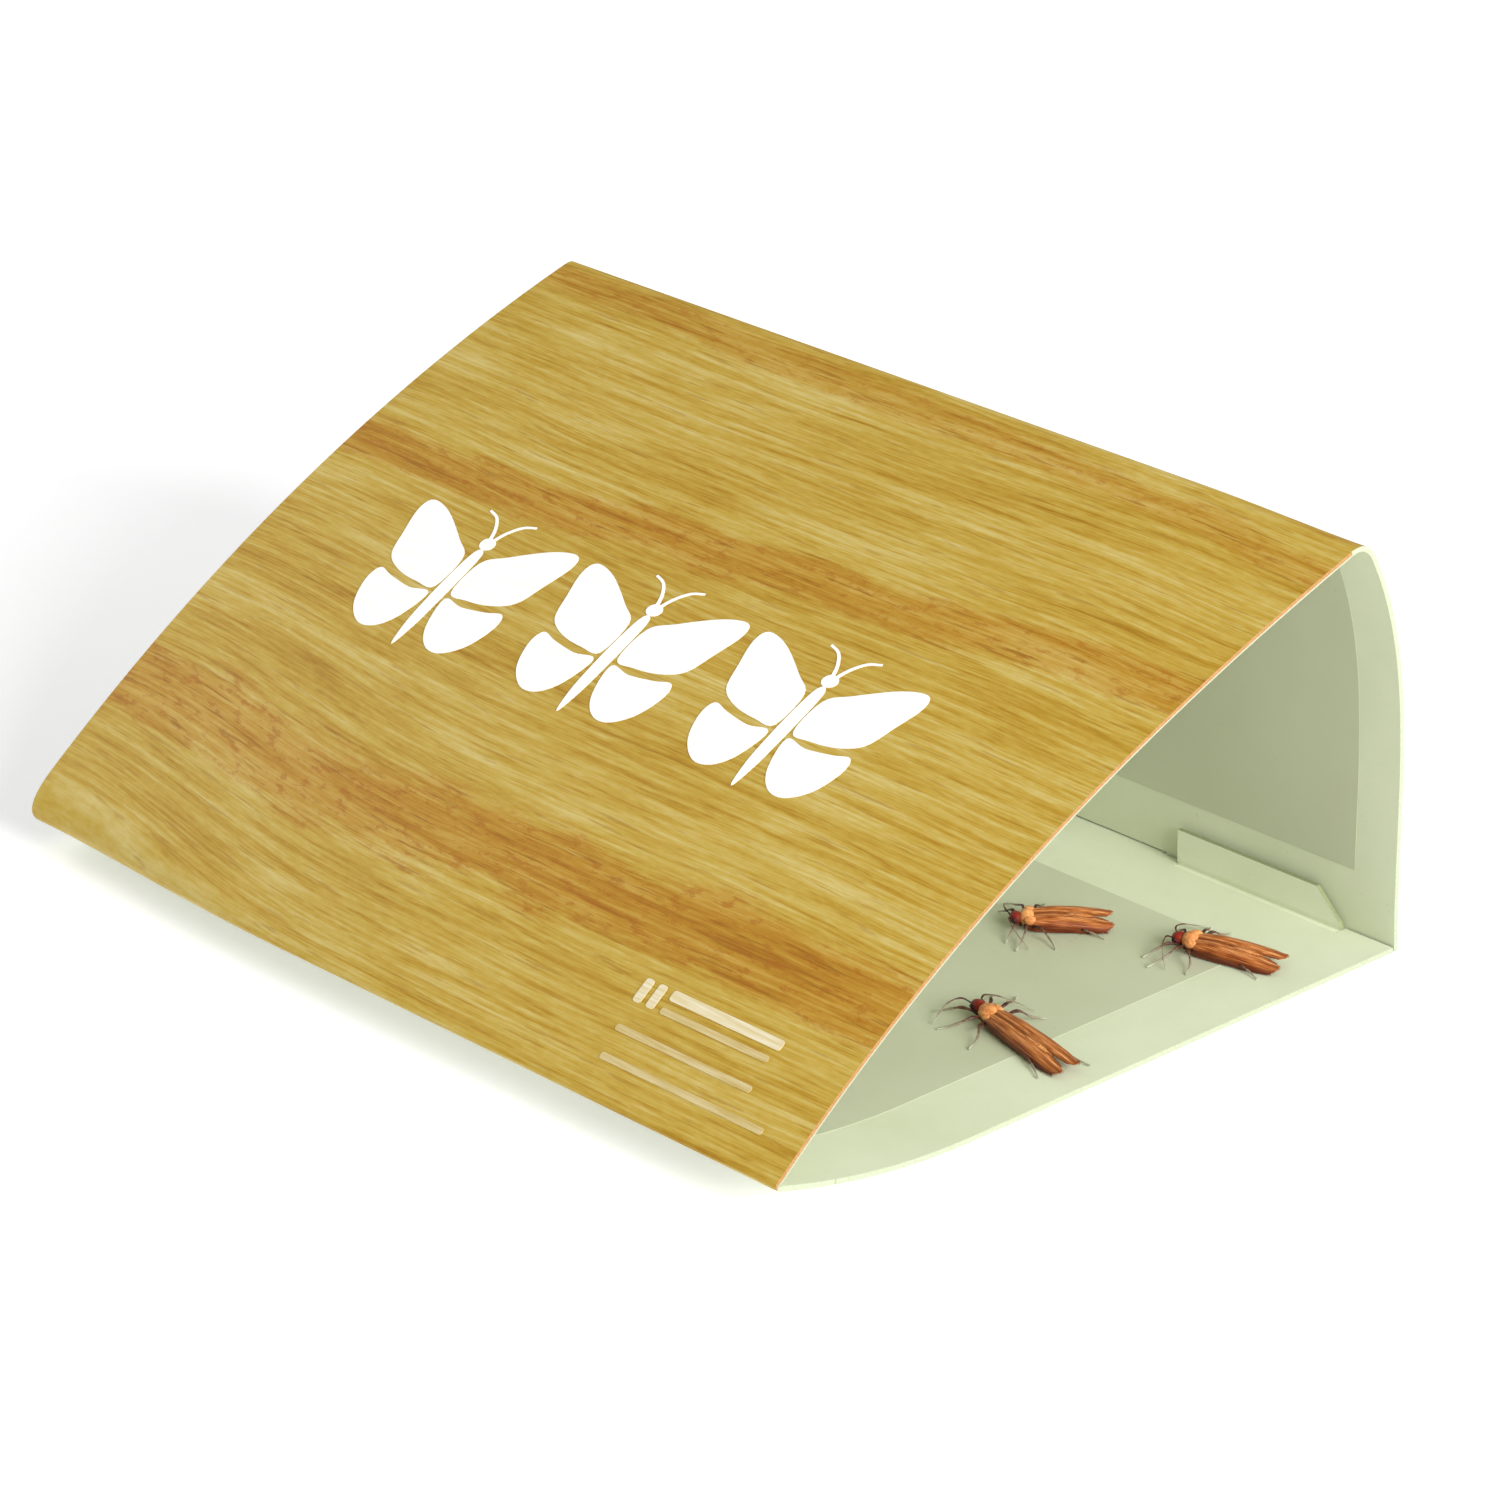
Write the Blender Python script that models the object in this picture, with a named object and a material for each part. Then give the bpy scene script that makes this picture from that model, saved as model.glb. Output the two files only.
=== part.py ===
"""A folded card tent trap for moths.

One strip of coated card is creased into three panels that make a tunnel along X: a flat floor,
a long sloping front and a short, nearly upright back. Sticky sheets line the three panels, a
lure pad sits on the floor sheet, and three moths are caught on it. The strip closes at the rear
of the floor, where a tongue runs out under the back panel between two small upright tabs.

Metres, +Z up. The trap stands on Z = 0 and the origin is on its underside. X runs along the
tunnel, and +Y is the back.
"""

import math

import bmesh
import bpy
from mathutils import Matrix, Vector

# Driving dimensions
LENGTH = 0.127
FLOOR_DEPTH = 0.096
CARD = 0.0006
GAP = 0.0003
GLUE = 0.00025

# Outer corners of the section, as (y, z)
FRONT_CORNER = (-FLOOR_DEPTH / 2, 0.0045)
REAR_CORNER = (FLOOR_DEPTH / 2, 0.0)
RIDGE_CORNER = (0.0400, 0.0513)

# How far each panel bows out from its chord, and how much the bow leans to the chord's end
FRONT_BOW = 0.0051
FRONT_BOW_LEAN = 0.17
BACK_BOW = 0.0035
BACK_BOW_LEAN = 0.70
CURL_START_Y = -0.0190

# Folds: a panel's card stops this far from its outer corner, which leaves the crease line open.
# At the front fold, which is the sharpest, the floor's card runs out to the corner instead.
SETBACK = 0.0009
FRONT_SETBACK = 0.0015
FLOOR_LIP = 0.0001
FRONT_STEPS = 14
BACK_STEPS = 10
CURL_STEPS = 7

# Closure at the rear of the floor
TONGUE_WIDTH = 0.0570
TONGUE_TIP_WIDTH = 0.0480
TONGUE_REACH = 0.0085
NOTCH_WIDTH = TONGUE_WIDTH + 0.0010
NOTCH_HEIGHT = 0.0006
TAB_INNER_X = 0.0316
TAB_BASE_OUTER_X = 0.0565
TAB_TOP_OUTER_X = 0.0528
TAB_HEIGHT = 0.0037
TAB_FACE_Y = 0.04685

# Sticky sheets
END_MARGIN = 0.0102
BACK_END_MARGIN = 0.0060
FLOOR_GLUE_REAR_Y = 0.0350
FLOOR_GLUE_FRONT_Y = -0.0410
BACK_GLUE_SPAN = (0.155, 0.90)
FRONT_GLUE_SPAN = (0.10, 0.90)

# Lure pad
LURE_RADIUS = 0.0060
LURE_HEIGHT = 0.0020
LURE_PLACE = (-0.0270, -0.0020)

# Caught moths: head (x, y), tail (x, y) and how stout it is for its length
MOTHS = {
    "moth_rear": ((0.0306, 0.0200), (0.0382, 0.0285), 1.15),
    "moth_side": ((0.0466, 0.0296), (0.0591, 0.0338), 1.00),
    "moth_front": ((0.0431, 0.0019), (0.0608, -0.0018), 0.68),
}
# Moth sections from head to tail: share of the length, half width and height as shares of it
MOTH_SECTIONS = (
    (0.00, 0.030, 0.05),
    (0.04, 0.060, 0.10),
    (0.11, 0.070, 0.13),
    (0.17, 0.100, 0.16),
    (0.30, 0.130, 0.17),
    (0.60, 0.140, 0.15),
    (0.85, 0.130, 0.12),
    (1.00, 0.085, 0.07),
)
MOTH_SIDES = 8


def clear_scene():
    for old in list(bpy.data.objects):
        bpy.data.objects.remove(old, do_unlink=True)


def material(name, colour, roughness):
    made = bpy.data.materials.new(name)
    made.use_nodes = True
    shader = made.node_tree.nodes["Principled BSDF"]
    shader.inputs["Base Color"].default_value = (*colour, 1.0)
    shader.inputs["Roughness"].default_value = roughness
    shader.inputs["Metallic"].default_value = 0.0
    return made


def add_object(name, bm, finish, pivot=(0.0, 0.0, 0.0)):
    """Makes the object, with its origin moved to pivot while its faces stay where they are."""
    bmesh.ops.recalc_face_normals(bm, faces=bm.faces)
    bmesh.ops.translate(bm, verts=bm.verts, vec=-Vector(pivot))
    mesh = bpy.data.meshes.new(name)
    bm.to_mesh(mesh)
    bm.free()
    mesh.materials.append(material(name, *finish))
    made = bpy.data.objects.new(name, mesh)
    made.location = pivot
    bpy.context.scene.collection.objects.link(made)
    return made


def bowed_line(start, end, bow, lean, steps, first, last):
    """Points on a line from start to end that bows to its left side, between two shares of it."""
    a = Vector(start)
    chord = Vector(end) - a
    left = Vector((-chord.y, chord.x)).normalized()
    points = []
    for i in range(steps + 1):
        t = first + (last - first) * i / steps
        lift = 4.0 * bow * t * (1.0 - t) * (1.0 + lean * (2.0 * t - 1.0))
        points.append(a + chord * t + left * lift)
    return points


def front_line(first, last):
    """The front panel's outer face, from the front fold up to the ridge."""
    return bowed_line(FRONT_CORNER, RIDGE_CORNER, FRONT_BOW, -FRONT_BOW_LEAN, FRONT_STEPS, first, last)


def back_line(first, last):
    """The back panel's outer face, from the rear of the floor up to the ridge."""
    return bowed_line(REAR_CORNER, RIDGE_CORNER, -BACK_BOW, BACK_BOW_LEAN, BACK_STEPS, first, last)


def floor_line(front_y, rear_y):
    """The floor's underside, flat at the rear and curling up towards the front fold."""
    curl_depth = CURL_START_Y - FRONT_CORNER[0]
    points = [Vector((rear_y, 0.0))]
    for i in range(CURL_STEPS + 1):
        y = CURL_START_Y + (front_y - CURL_START_Y) * i / CURL_STEPS
        z = FRONT_CORNER[1] * ((CURL_START_Y - y) / curl_depth) ** 2
        points.append(Vector((y, z)))
    return points


def offset(line, distance):
    """The line moved to its right-hand side by distance."""
    moved = []
    for i, point in enumerate(line):
        before = line[max(i - 1, 0)]
        after = line[min(i + 1, len(line) - 1)]
        along = (after - before).normalized()
        moved.append(point + Vector((along.y, -along.x)) * distance)
    return moved


def share_of(length, start, end):
    """A distance along a chord as a share of that chord."""
    return length / (Vector(end) - Vector(start)).length


def sheet(name, outer, inner, cuts, finish, missing=(), pivot=(0.0, 0.0, 0.0)):
    """A closed sheet between two matching section lines, spanned along X, without its missing cells.

    A cell is (i, j): span i between two X cuts, and step j along the section.
    """
    bm = bmesh.new()
    sides = []
    for line in (outer, inner):
        sides.append([[bm.verts.new((x, p.x, p.y)) for p in line] for x in cuts])
    cells = [(i, j) for i in range(len(cuts) - 1) for j in range(len(outer) - 1)]
    cells = [cell for cell in cells if cell not in missing]
    for i, j in cells:
        ring = ((i, j), (i, j + 1), (i + 1, j + 1), (i + 1, j))
        beside = ((i - 1, j), (i, j + 1), (i + 1, j), (i, j - 1))
        for side in sides:
            bm.faces.new([side[a][b] for a, b in ring])
        for k in range(4):
            if beside[k] not in cells:
                a = ring[k]
                b = ring[(k + 1) % 4]
                wall = (sides[0][a[0]][a[1]], sides[0][b[0]][b[1]], sides[1][b[0]][b[1]], sides[1][a[0]][a[1]])
                bm.faces.new(wall)
    loose = [v for v in bm.verts if not v.link_faces]
    bmesh.ops.delete(bm, geom=loose, context="VERTS")
    return add_object(name, bm, finish, pivot)


def plate(name, outline, push, finish, pivot=(0.0, 0.0, 0.0)):
    """A flat plate: an outline of world points, pushed through its thickness."""
    bm = bmesh.new()
    face = bm.faces.new([bm.verts.new(p) for p in outline])
    pushed = bmesh.ops.extrude_face_region(bm, geom=[face])
    corners = [v for v in pushed["geom"] if isinstance(v, bmesh.types.BMVert)]
    bmesh.ops.translate(bm, verts=corners, vec=Vector(push))
    return add_object(name, bm, finish, pivot)


def fold_axis(corner, first, second):
    """The point at mid-thickness inside an outer corner whose sides leave along two directions."""
    a = Vector(first).normalized()
    b = Vector(second).normalized()
    inward = (a + b).normalized()
    half_angle = a.angle(b) / 2.0
    point = Vector(corner) + inward * (CARD / 2.0 / math.sin(half_angle))
    return (0.0, point.x, point.y)


def front_fold_axis():
    return fold_axis(FRONT_CORNER, front_line(0.0, 0.1)[1] - Vector(FRONT_CORNER),
                     floor_line(FRONT_CORNER[0], 0.0)[-2] - Vector(FRONT_CORNER))


def ridge_fold_axis():
    return fold_axis(RIDGE_CORNER, front_line(0.9, 1.0)[-2] - Vector(RIDGE_CORNER),
                     back_line(0.9, 1.0)[-2] - Vector(RIDGE_CORNER))


def tab_fold_axis():
    return (0.0, REAR_CORNER[0] - CARD, CARD)


PRINTED_CARD = ((0.56, 0.36, 0.07), 0.45)
PALE_CARD = ((0.72, 0.76, 0.56), 0.70)
STICKY = ((0.50, 0.55, 0.38), 0.25)
RUBBER = ((0.55, 0.30, 0.18), 0.60)
WINGS = ((0.36, 0.12, 0.03), 0.40)


def build_floor():
    outer = floor_line(FRONT_CORNER[0] + FLOOR_LIP, REAR_CORNER[0] - SETBACK)
    inner = offset(outer, CARD)
    ends = (-LENGTH / 2, LENGTH / 2)
    return sheet("floor_panel", outer, inner, ends, PALE_CARD)


def build_front():
    low = share_of(FRONT_SETBACK, FRONT_CORNER, RIDGE_CORNER)
    high = 1.0 - share_of(SETBACK, FRONT_CORNER, RIDGE_CORNER)
    outer = front_line(low, high)
    inner = offset(outer, CARD)
    ends = (-LENGTH / 2, LENGTH / 2)
    return sheet("front_panel", outer, inner, ends, PRINTED_CARD, pivot=front_fold_axis())


def build_back():
    """The back panel's lowest strip is cut away between the tabs, which lets the tongue out."""
    back_off = share_of(SETBACK, REAR_CORNER, RIDGE_CORNER)
    notch_top = back_off + share_of(NOTCH_HEIGHT, REAR_CORNER, RIDGE_CORNER)
    whole = back_line(notch_top, 1.0 - back_off)
    outer = [back_line(back_off, notch_top)[0]] + whole
    inner = offset(outer, -CARD)
    cuts = (-LENGTH / 2, -NOTCH_WIDTH / 2, NOTCH_WIDTH / 2, LENGTH / 2)
    return sheet("back_panel", outer, inner, cuts, PALE_CARD, missing=((1, 0),), pivot=ridge_fold_axis())


def build_tongue():
    root_y = REAR_CORNER[0] - SETBACK + GAP
    tip_y = REAR_CORNER[0] + TONGUE_REACH
    shoulder_y = tip_y - TONGUE_REACH / 2
    outline = []
    for side in (1, -1):
        edge = [
            (side * TONGUE_WIDTH / 2, root_y, 0.0),
            (side * TONGUE_WIDTH / 2, shoulder_y, 0.0),
            (side * TONGUE_TIP_WIDTH / 2, tip_y, 0.0),
        ]
        outline += edge[::side]
    return plate("locking_tongue", outline, (0.0, 0.0, CARD), PALE_CARD)


def build_tab(name, side):
    """A small upright tab inside the back panel. Its outer end slants, and it folds at the floor's rear."""
    base_z = 2 * CARD
    top_z = base_z + TAB_HEIGHT
    outline = [
        (side * TAB_INNER_X, TAB_FACE_Y, base_z),
        (side * TAB_BASE_OUTER_X, TAB_FACE_Y, base_z),
        (side * TAB_TOP_OUTER_X, TAB_FACE_Y, top_z),
        (side * TAB_INNER_X, TAB_FACE_Y, top_z),
    ]
    return plate(name, outline, (0.0, -CARD, 0.0), PALE_CARD, pivot=tab_fold_axis())


def build_floor_glue():
    line = floor_line(FLOOR_GLUE_FRONT_Y, FLOOR_GLUE_REAR_Y)
    ends = (-LENGTH / 2 + END_MARGIN, LENGTH / 2 - END_MARGIN)
    near_card = offset(line, CARD + GAP)
    top = offset(line, CARD + GAP + GLUE)
    return sheet("floor_glue", near_card, top, ends, STICKY)


def build_front_glue():
    line = front_line(*FRONT_GLUE_SPAN)
    ends = (-LENGTH / 2 + END_MARGIN, LENGTH / 2 - END_MARGIN)
    near_card = offset(line, CARD + GAP)
    top = offset(line, CARD + GAP + GLUE)
    return sheet("front_glue", near_card, top, ends, STICKY, pivot=front_fold_axis())


def build_back_glue():
    line = back_line(*BACK_GLUE_SPAN)
    ends = (-LENGTH / 2 + BACK_END_MARGIN, LENGTH / 2 - BACK_END_MARGIN)
    near_card = offset(line, -CARD - GAP)
    top = offset(line, -CARD - GAP - GLUE)
    return sheet("back_glue", near_card, top, ends, STICKY, pivot=ridge_fold_axis())


def on_floor_glue():
    """The height at which a piece sits on the flat part of the floor's sticky sheet."""
    return CARD + GAP + GLUE + GAP


def build_lure():
    bm = bmesh.new()
    centre = Vector((*LURE_PLACE, on_floor_glue() + LURE_HEIGHT / 2))
    bmesh.ops.create_cone(bm, cap_ends=True, segments=32, radius1=LURE_RADIUS, radius2=LURE_RADIUS,
                          depth=LURE_HEIGHT, matrix=Matrix.Translation(centre))
    rims = [e for e in bm.edges if abs(e.verts[0].co.z - e.verts[1].co.z) < GAP]
    bmesh.ops.bevel(bm, geom=rims, offset=LURE_HEIGHT / 5, segments=2, affect="EDGES", profile=0.5)
    return add_object("pheromone_lure", bm, RUBBER)


def moth_ring(bm, place, across, half_width, height):
    """One cross-section of a moth, flat underneath and rounded above."""
    ring = []
    for i in range(MOTH_SIDES):
        angle = math.pi * i / (MOTH_SIDES - 1)
        point = place + across * (half_width * math.cos(angle))
        ring.append(bm.verts.new(point + Vector((0.0, 0.0, height * math.sin(angle)))))
    return ring


def build_moth(name, head, tail, girth):
    """A moth at rest with its wings folded over its body, as one plain closed form."""
    bm = bmesh.new()
    start = Vector((*head, on_floor_glue()))
    along = Vector((*tail, on_floor_glue())) - start
    stout = along.length * girth
    across = Vector((-along.y, along.x, 0.0)).normalized()
    rings = []
    for share, half_width, height in MOTH_SECTIONS:
        rings.append(moth_ring(bm, start + along * share, across, half_width * stout, height * stout))
    for near, far in zip(rings, rings[1:]):
        for i in range(MOTH_SIDES):
            j = (i + 1) % MOTH_SIDES
            bm.faces.new((near[i], near[j], far[j], far[i]))
    bm.faces.new(rings[0])
    bm.faces.new(rings[-1])
    return add_object(name, bm, WINGS)


def main():
    clear_scene()
    build_floor()
    build_front()
    build_back()
    build_tongue()
    build_tab("near_shoulder_tab", 1)
    build_tab("far_shoulder_tab", -1)
    build_floor_glue()
    build_front_glue()
    build_back_glue()
    build_lure()
    for name, (head, tail, girth) in MOTHS.items():
        build_moth(name, head, tail, girth)


main()
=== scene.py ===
"""The looks of the folded card moth trap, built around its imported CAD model.

The card is one creased sheet. Its outer section is worked out at each place along X, with the
folds rounded, and every piece of card, glue and print is laid on that section.
"""

import math

import bmesh
import bpy
import numpy as np
from mathutils import Matrix, Vector


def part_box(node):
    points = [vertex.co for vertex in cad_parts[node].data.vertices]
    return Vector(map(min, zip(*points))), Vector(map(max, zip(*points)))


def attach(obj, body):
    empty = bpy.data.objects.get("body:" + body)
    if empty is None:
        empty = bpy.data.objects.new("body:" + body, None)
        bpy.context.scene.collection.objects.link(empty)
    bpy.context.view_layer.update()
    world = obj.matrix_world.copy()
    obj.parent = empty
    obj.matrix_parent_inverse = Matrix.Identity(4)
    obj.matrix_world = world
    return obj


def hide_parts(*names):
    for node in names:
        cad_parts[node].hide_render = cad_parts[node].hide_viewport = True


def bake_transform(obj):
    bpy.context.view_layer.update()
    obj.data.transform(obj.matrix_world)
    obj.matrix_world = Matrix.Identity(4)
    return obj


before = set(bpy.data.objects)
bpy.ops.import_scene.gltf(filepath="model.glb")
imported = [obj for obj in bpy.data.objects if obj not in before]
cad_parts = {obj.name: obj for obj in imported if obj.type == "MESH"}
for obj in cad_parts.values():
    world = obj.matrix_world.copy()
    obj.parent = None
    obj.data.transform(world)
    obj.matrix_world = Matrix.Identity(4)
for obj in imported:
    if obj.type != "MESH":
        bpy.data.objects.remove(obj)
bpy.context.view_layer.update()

# The card's driving dimensions, in metres, as in the CAD model
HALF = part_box("floor_panel")[1].x
CARD = 0.0006
FRONT_CORNER = np.array([-0.048, 0.0045])
REAR_CORNER = np.array([0.048, 0.0])
RIDGE_CORNER = np.array([0.0400, 0.0513])
FRONT_BOW = 0.0051
FRONT_BOW_LEAN = 0.17
BACK_BOW = 0.0035
BACK_BOW_LEAN = 0.70
CURL_START_Y = -0.0190
FLOOR_REAR_Y = 0.0471

# Closure at the rear of the floor
TONGUE_HALF = 0.0285
TONGUE_TIP_HALF = 0.0240
TONGUE_TIP_Y = 0.0565
TONGUE_TIP_ROUND = 0.0016
TONGUE_SHOULDER_Y = (FLOOR_REAR_Y + TONGUE_TIP_Y) / 2.0 + 0.0004
NOTCH_HALF = 0.0290
NOTCH_TOP = CARD + 0.00025
TAB_ROOT_Y = 0.0455
TAB_FACE_Y = 0.04685
TAB_TOP = 0.0049
TAB_TOP_LEAN = 0.0001
TAB_SLANT_START = 0.0012
TAB_X = (0.0316, 0.0565)
TAB_TOP_OUTER_X = 0.0528

# A tab's fold: how far it reaches from its corner, and how much it presses the card
TAB_FOLD = 0.0009
TAB_PRESSED = 0.00022
TAB_WALL_POINTS = 10
TAB_FOLD_STEPS = 8
TAB_STRIP_POINTS = 4

# How far each rounded fold reaches from its corner: crisp at one end of the trap, soft at the other
FRONT_FOLD_CRISP = 0.0014
FRONT_FOLD_SOFT = 0.0080
RIDGE_CRISP = 0.00135
RIDGE_SOFT = 0.0026

# The front fold softens from this X to the far end, and the ridge over its last stretch near the camera
FRONT_SOFTENS_FROM = 0.01
RIDGE_SOFTENS_OVER = 0.024

# Slope of the floor's curl at the front fold, and half the angle between it and the front panel
CURL_SLOPE = math.radians(17)
FRONT_FOLD_HALF_ANGLE = math.radians(29.4)

# A fold tighter than the card presses it to this share of the fold's radius
PRESSED_SHARE = 0.75

# The sheet isn't quite true: at its far end the front fold sits lower, and the front bows higher up
# and a little more
FAR_DROP = 0.0012
FAR_BOW_LEAN = 0.02
FAR_EXTRA_BOW = 0.0003

# How unevenly each panel bows along the trap: the size of its waves, and where they start
FRONT_RIPPLE = (0.00011, 0.4)
BACK_RIPPLE = (0.00009, 1.9)

# Rounding of the cut edges, and where the print's ink ends in their thickness
EDGE_ROUND = 0.00007
EDGE_SPLIT = 0.6

# Edges with a sharper turn than this are shaded crisp
SHARP_ANGLE = math.radians(42)

# Glue on the card: the gap under it, its thickness, and its top on the flat part of the floor
FILM_GAP = 0.00001
FILM = 0.00003
GLUE_TOP = CARD + FILM + FILM_GAP

# Metres of card to one unit of its UV map, and steps along the trap
UV_UNIT = 0.1
ALONG_STEPS = 84


# ---------------------------------------------------------------- the card's shape


def ease(value, low, high):
    """0 below low, 1 above high, and smooth between them."""
    t = np.clip((value - low) / (high - low), 0.0, 1.0)
    return t * t * (3.0 - 2.0 * t)


def bowed(start, end, bow, lean, t):
    """Points at shares t of a chord that bows to its left."""
    chord = end - start
    left = np.array([-chord[1], chord[0]]) / np.linalg.norm(chord)
    lift = 4.0 * bow * t * (1.0 - t) * (1.0 + lean * (2.0 * t - 1.0))
    return start + np.multiply.outer(t, chord) + np.multiply.outer(lift, left)


def ripple(x, size, seed):
    """A slight unevenness in how far a panel bows, along the trap."""
    waves = math.sin(31.0 * x + seed) + 0.6 * math.sin(67.0 * x + 2.3 * seed)
    return size * waves * (0.7 + 0.3 * np.cos(2.5 + seed))


def far(x):
    """0 from the middle to the near end, rising to 1 at the far end."""
    return float(ease(-x, 0.0, HALF))


def front_corner(x):
    return FRONT_CORNER - [0.0, FAR_DROP * far(x)]


def front_face(x, t):
    """The front panel's outer face, from its fold at 0 to the ridge at 1."""
    bow = FRONT_BOW + FAR_EXTRA_BOW * far(x) + ripple(x, *FRONT_RIPPLE)
    lean = -FRONT_BOW_LEAN + (FRONT_BOW_LEAN + FAR_BOW_LEAN) * far(x)
    return bowed(front_corner(x), RIDGE_CORNER, bow, lean, np.asarray(t, float))


def back_face(x, t):
    """The back panel's outer face, from the ridge at 0 down to the rear corner at 1."""
    bow = BACK_BOW + ripple(x, *BACK_RIPPLE)
    return bowed(RIDGE_CORNER, REAR_CORNER, bow, -BACK_BOW_LEAN, np.asarray(t, float))


def floor_face(x, y):
    """The floor's underside: flat at the rear, curling up to the front fold."""
    y = np.asarray(y, float)
    reach = CURL_START_Y - FRONT_CORNER[0]
    curl = np.clip((CURL_START_Y - y) / reach, 0.0, None)
    return np.stack([y, front_corner(x)[1] * curl**2], -1)


def fillet(before, corner, after, steps):
    """A rounded corner between two points on its sides, without its two ends."""
    u = np.linspace(0.0, 1.0, steps + 1)[1:-1, None]
    return (1 - u) ** 2 * before + 2 * u * (1 - u) * corner + u**2 * after


def front_fold_reach(x):
    soft = ease(-x, -FRONT_SOFTENS_FROM, HALF) ** 2
    return FRONT_FOLD_CRISP + (FRONT_FOLD_SOFT - FRONT_FOLD_CRISP) * soft


def ridge_reach(x):
    soft = ease(x, HALF - RIDGE_SOFTENS_OVER, HALF)
    return RIDGE_CRISP + (RIDGE_SOFT - RIDGE_CRISP) * soft


# Steps round the section: rear strip, floor, floor beside the fold, each fold, front, back and foot
REAR_STEPS = 3
FLOOR_STEPS = 46
FLOOR_END_STEPS = 4
FOLD_STEPS = 14
FRONT_STEPS = 76
BACK_STEPS = 40
FOOT_STEPS = 2

# Where the front card meets the floor's, and where the back's foot ends as a share of its chord
SEAM_Y = FRONT_CORNER[0] + 0.0090
FOOT_END = 0.998

# Rows of the section at which the front card, the print, the back card and its foot start
SEAM_FLOOR = REAR_STEPS + FLOOR_STEPS
PRINT_START = SEAM_FLOOR + FLOOR_END_STEPS + FOLD_STEPS // 3
SEAM_RIDGE = SEAM_FLOOR + FLOOR_END_STEPS + FOLD_STEPS + FRONT_STEPS
FOOT_ROW = SEAM_RIDGE + FOLD_STEPS + BACK_STEPS
FRONT_LENGTH = np.linalg.norm(RIDGE_CORNER - FRONT_CORNER)
BACK_LENGTH = np.linalg.norm(RIDGE_CORNER - REAR_CORNER)


def section(x):
    """The whole card's outer face at x, from the floor's rear, round the front, to the back's foot."""
    fold = front_fold_reach(x)
    ridge = ridge_reach(x)
    fold_y = FRONT_CORNER[0] + fold * math.cos(CURL_SLOPE)
    front_low = fold / FRONT_LENGTH
    front_high = 1.0 - ridge / FRONT_LENGTH
    back_high = ridge / BACK_LENGTH
    notch = 1.0 - NOTCH_TOP / BACK_LENGTH
    rear = floor_face(x, np.linspace(FLOOR_REAR_Y, TAB_ROOT_Y, REAR_STEPS + 1)[:-1])
    floor = floor_face(x, np.linspace(TAB_ROOT_Y, SEAM_Y, FLOOR_STEPS + 1)[:-1])
    floor_end = floor_face(x, np.linspace(SEAM_Y, fold_y, FLOOR_END_STEPS + 1))
    front = front_face(x, np.linspace(front_low, front_high, FRONT_STEPS + 1))
    back = back_face(x, np.linspace(back_high, notch, BACK_STEPS + 1))
    foot = back_face(x, np.linspace(notch, FOOT_END, FOOT_STEPS + 1)[1:])
    round_front = fillet(floor_end[-1], front_corner(x), front[0], FOLD_STEPS)
    round_ridge = fillet(front[-1], RIDGE_CORNER, back[0], FOLD_STEPS)
    return np.concatenate([rear, floor, floor_end, round_front, front, round_ridge, back, foot])


def outward(points):
    """The outward unit normal at each point of a section line."""
    along = np.gradient(points, axis=0)
    along /= np.linalg.norm(along, axis=1)[:, None]
    return np.stack([-along[:, 1], along[:, 0]], -1)


def thickness(x, count):
    """The card's thickness at each point of the section: pressed thin where the front fold is tight."""
    made = np.full(count, CARD)
    half = FRONT_FOLD_HALF_ANGLE
    radius = front_fold_reach(x) * math.sin(half) ** 2 / math.cos(half)
    pressed = min(CARD, PRESSED_SHARE * radius)
    first = SEAM_FLOOR + FLOOR_END_STEPS
    u = np.linspace(0.0, 1.0, FOLD_STEPS + 1)
    made[first:first + FOLD_STEPS + 1] -= (CARD - pressed) * np.sin(math.pi * u)
    return made


def along_x(*cuts):
    """X places for a grid, with the cuts among them."""
    even = np.linspace(-HALF, HALF, ALONG_STEPS + 1)
    return np.array(sorted(set(np.round(np.concatenate([even, cuts]), 7))))


# ---------------------------------------------------------------- meshes


def add_object(name, data):
    made = bpy.data.objects.new(name, data)
    bpy.context.scene.collection.objects.link(made)
    return made


def add_mesh(name, verts, faces, slots, materials, uvs=None):
    """Makes an object from lists. slots gives each face's material, uvs each vertex's flat place."""
    mesh = bpy.data.meshes.new(name)
    mesh.from_pydata([tuple(map(float, v)) for v in verts], [], [tuple(map(int, f)) for f in faces])
    for made in materials:
        mesh.materials.append(made)
    mesh.polygons.foreach_set("material_index", np.array(slots, np.int32))
    if uvs is not None:
        layer = mesh.uv_layers.new(name="flat")
        corners = np.zeros(len(mesh.loops), np.int32)
        mesh.loops.foreach_get("vertex_index", corners)
        layer.data.foreach_set("uv", np.array(uvs, np.float32)[corners].ravel())
    bm = bmesh.new()
    bm.from_mesh(mesh)
    loose = [v for v in bm.verts if not v.link_faces]
    bmesh.ops.delete(bm, geom=loose, context="VERTS")
    bmesh.ops.recalc_face_normals(bm, faces=bm.faces)
    bm.to_mesh(mesh)
    bm.free()
    mesh.shade_smooth()
    mesh.set_sharp_from_angle(angle=SHARP_ANGLE)
    return add_object(name, mesh)


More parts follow.
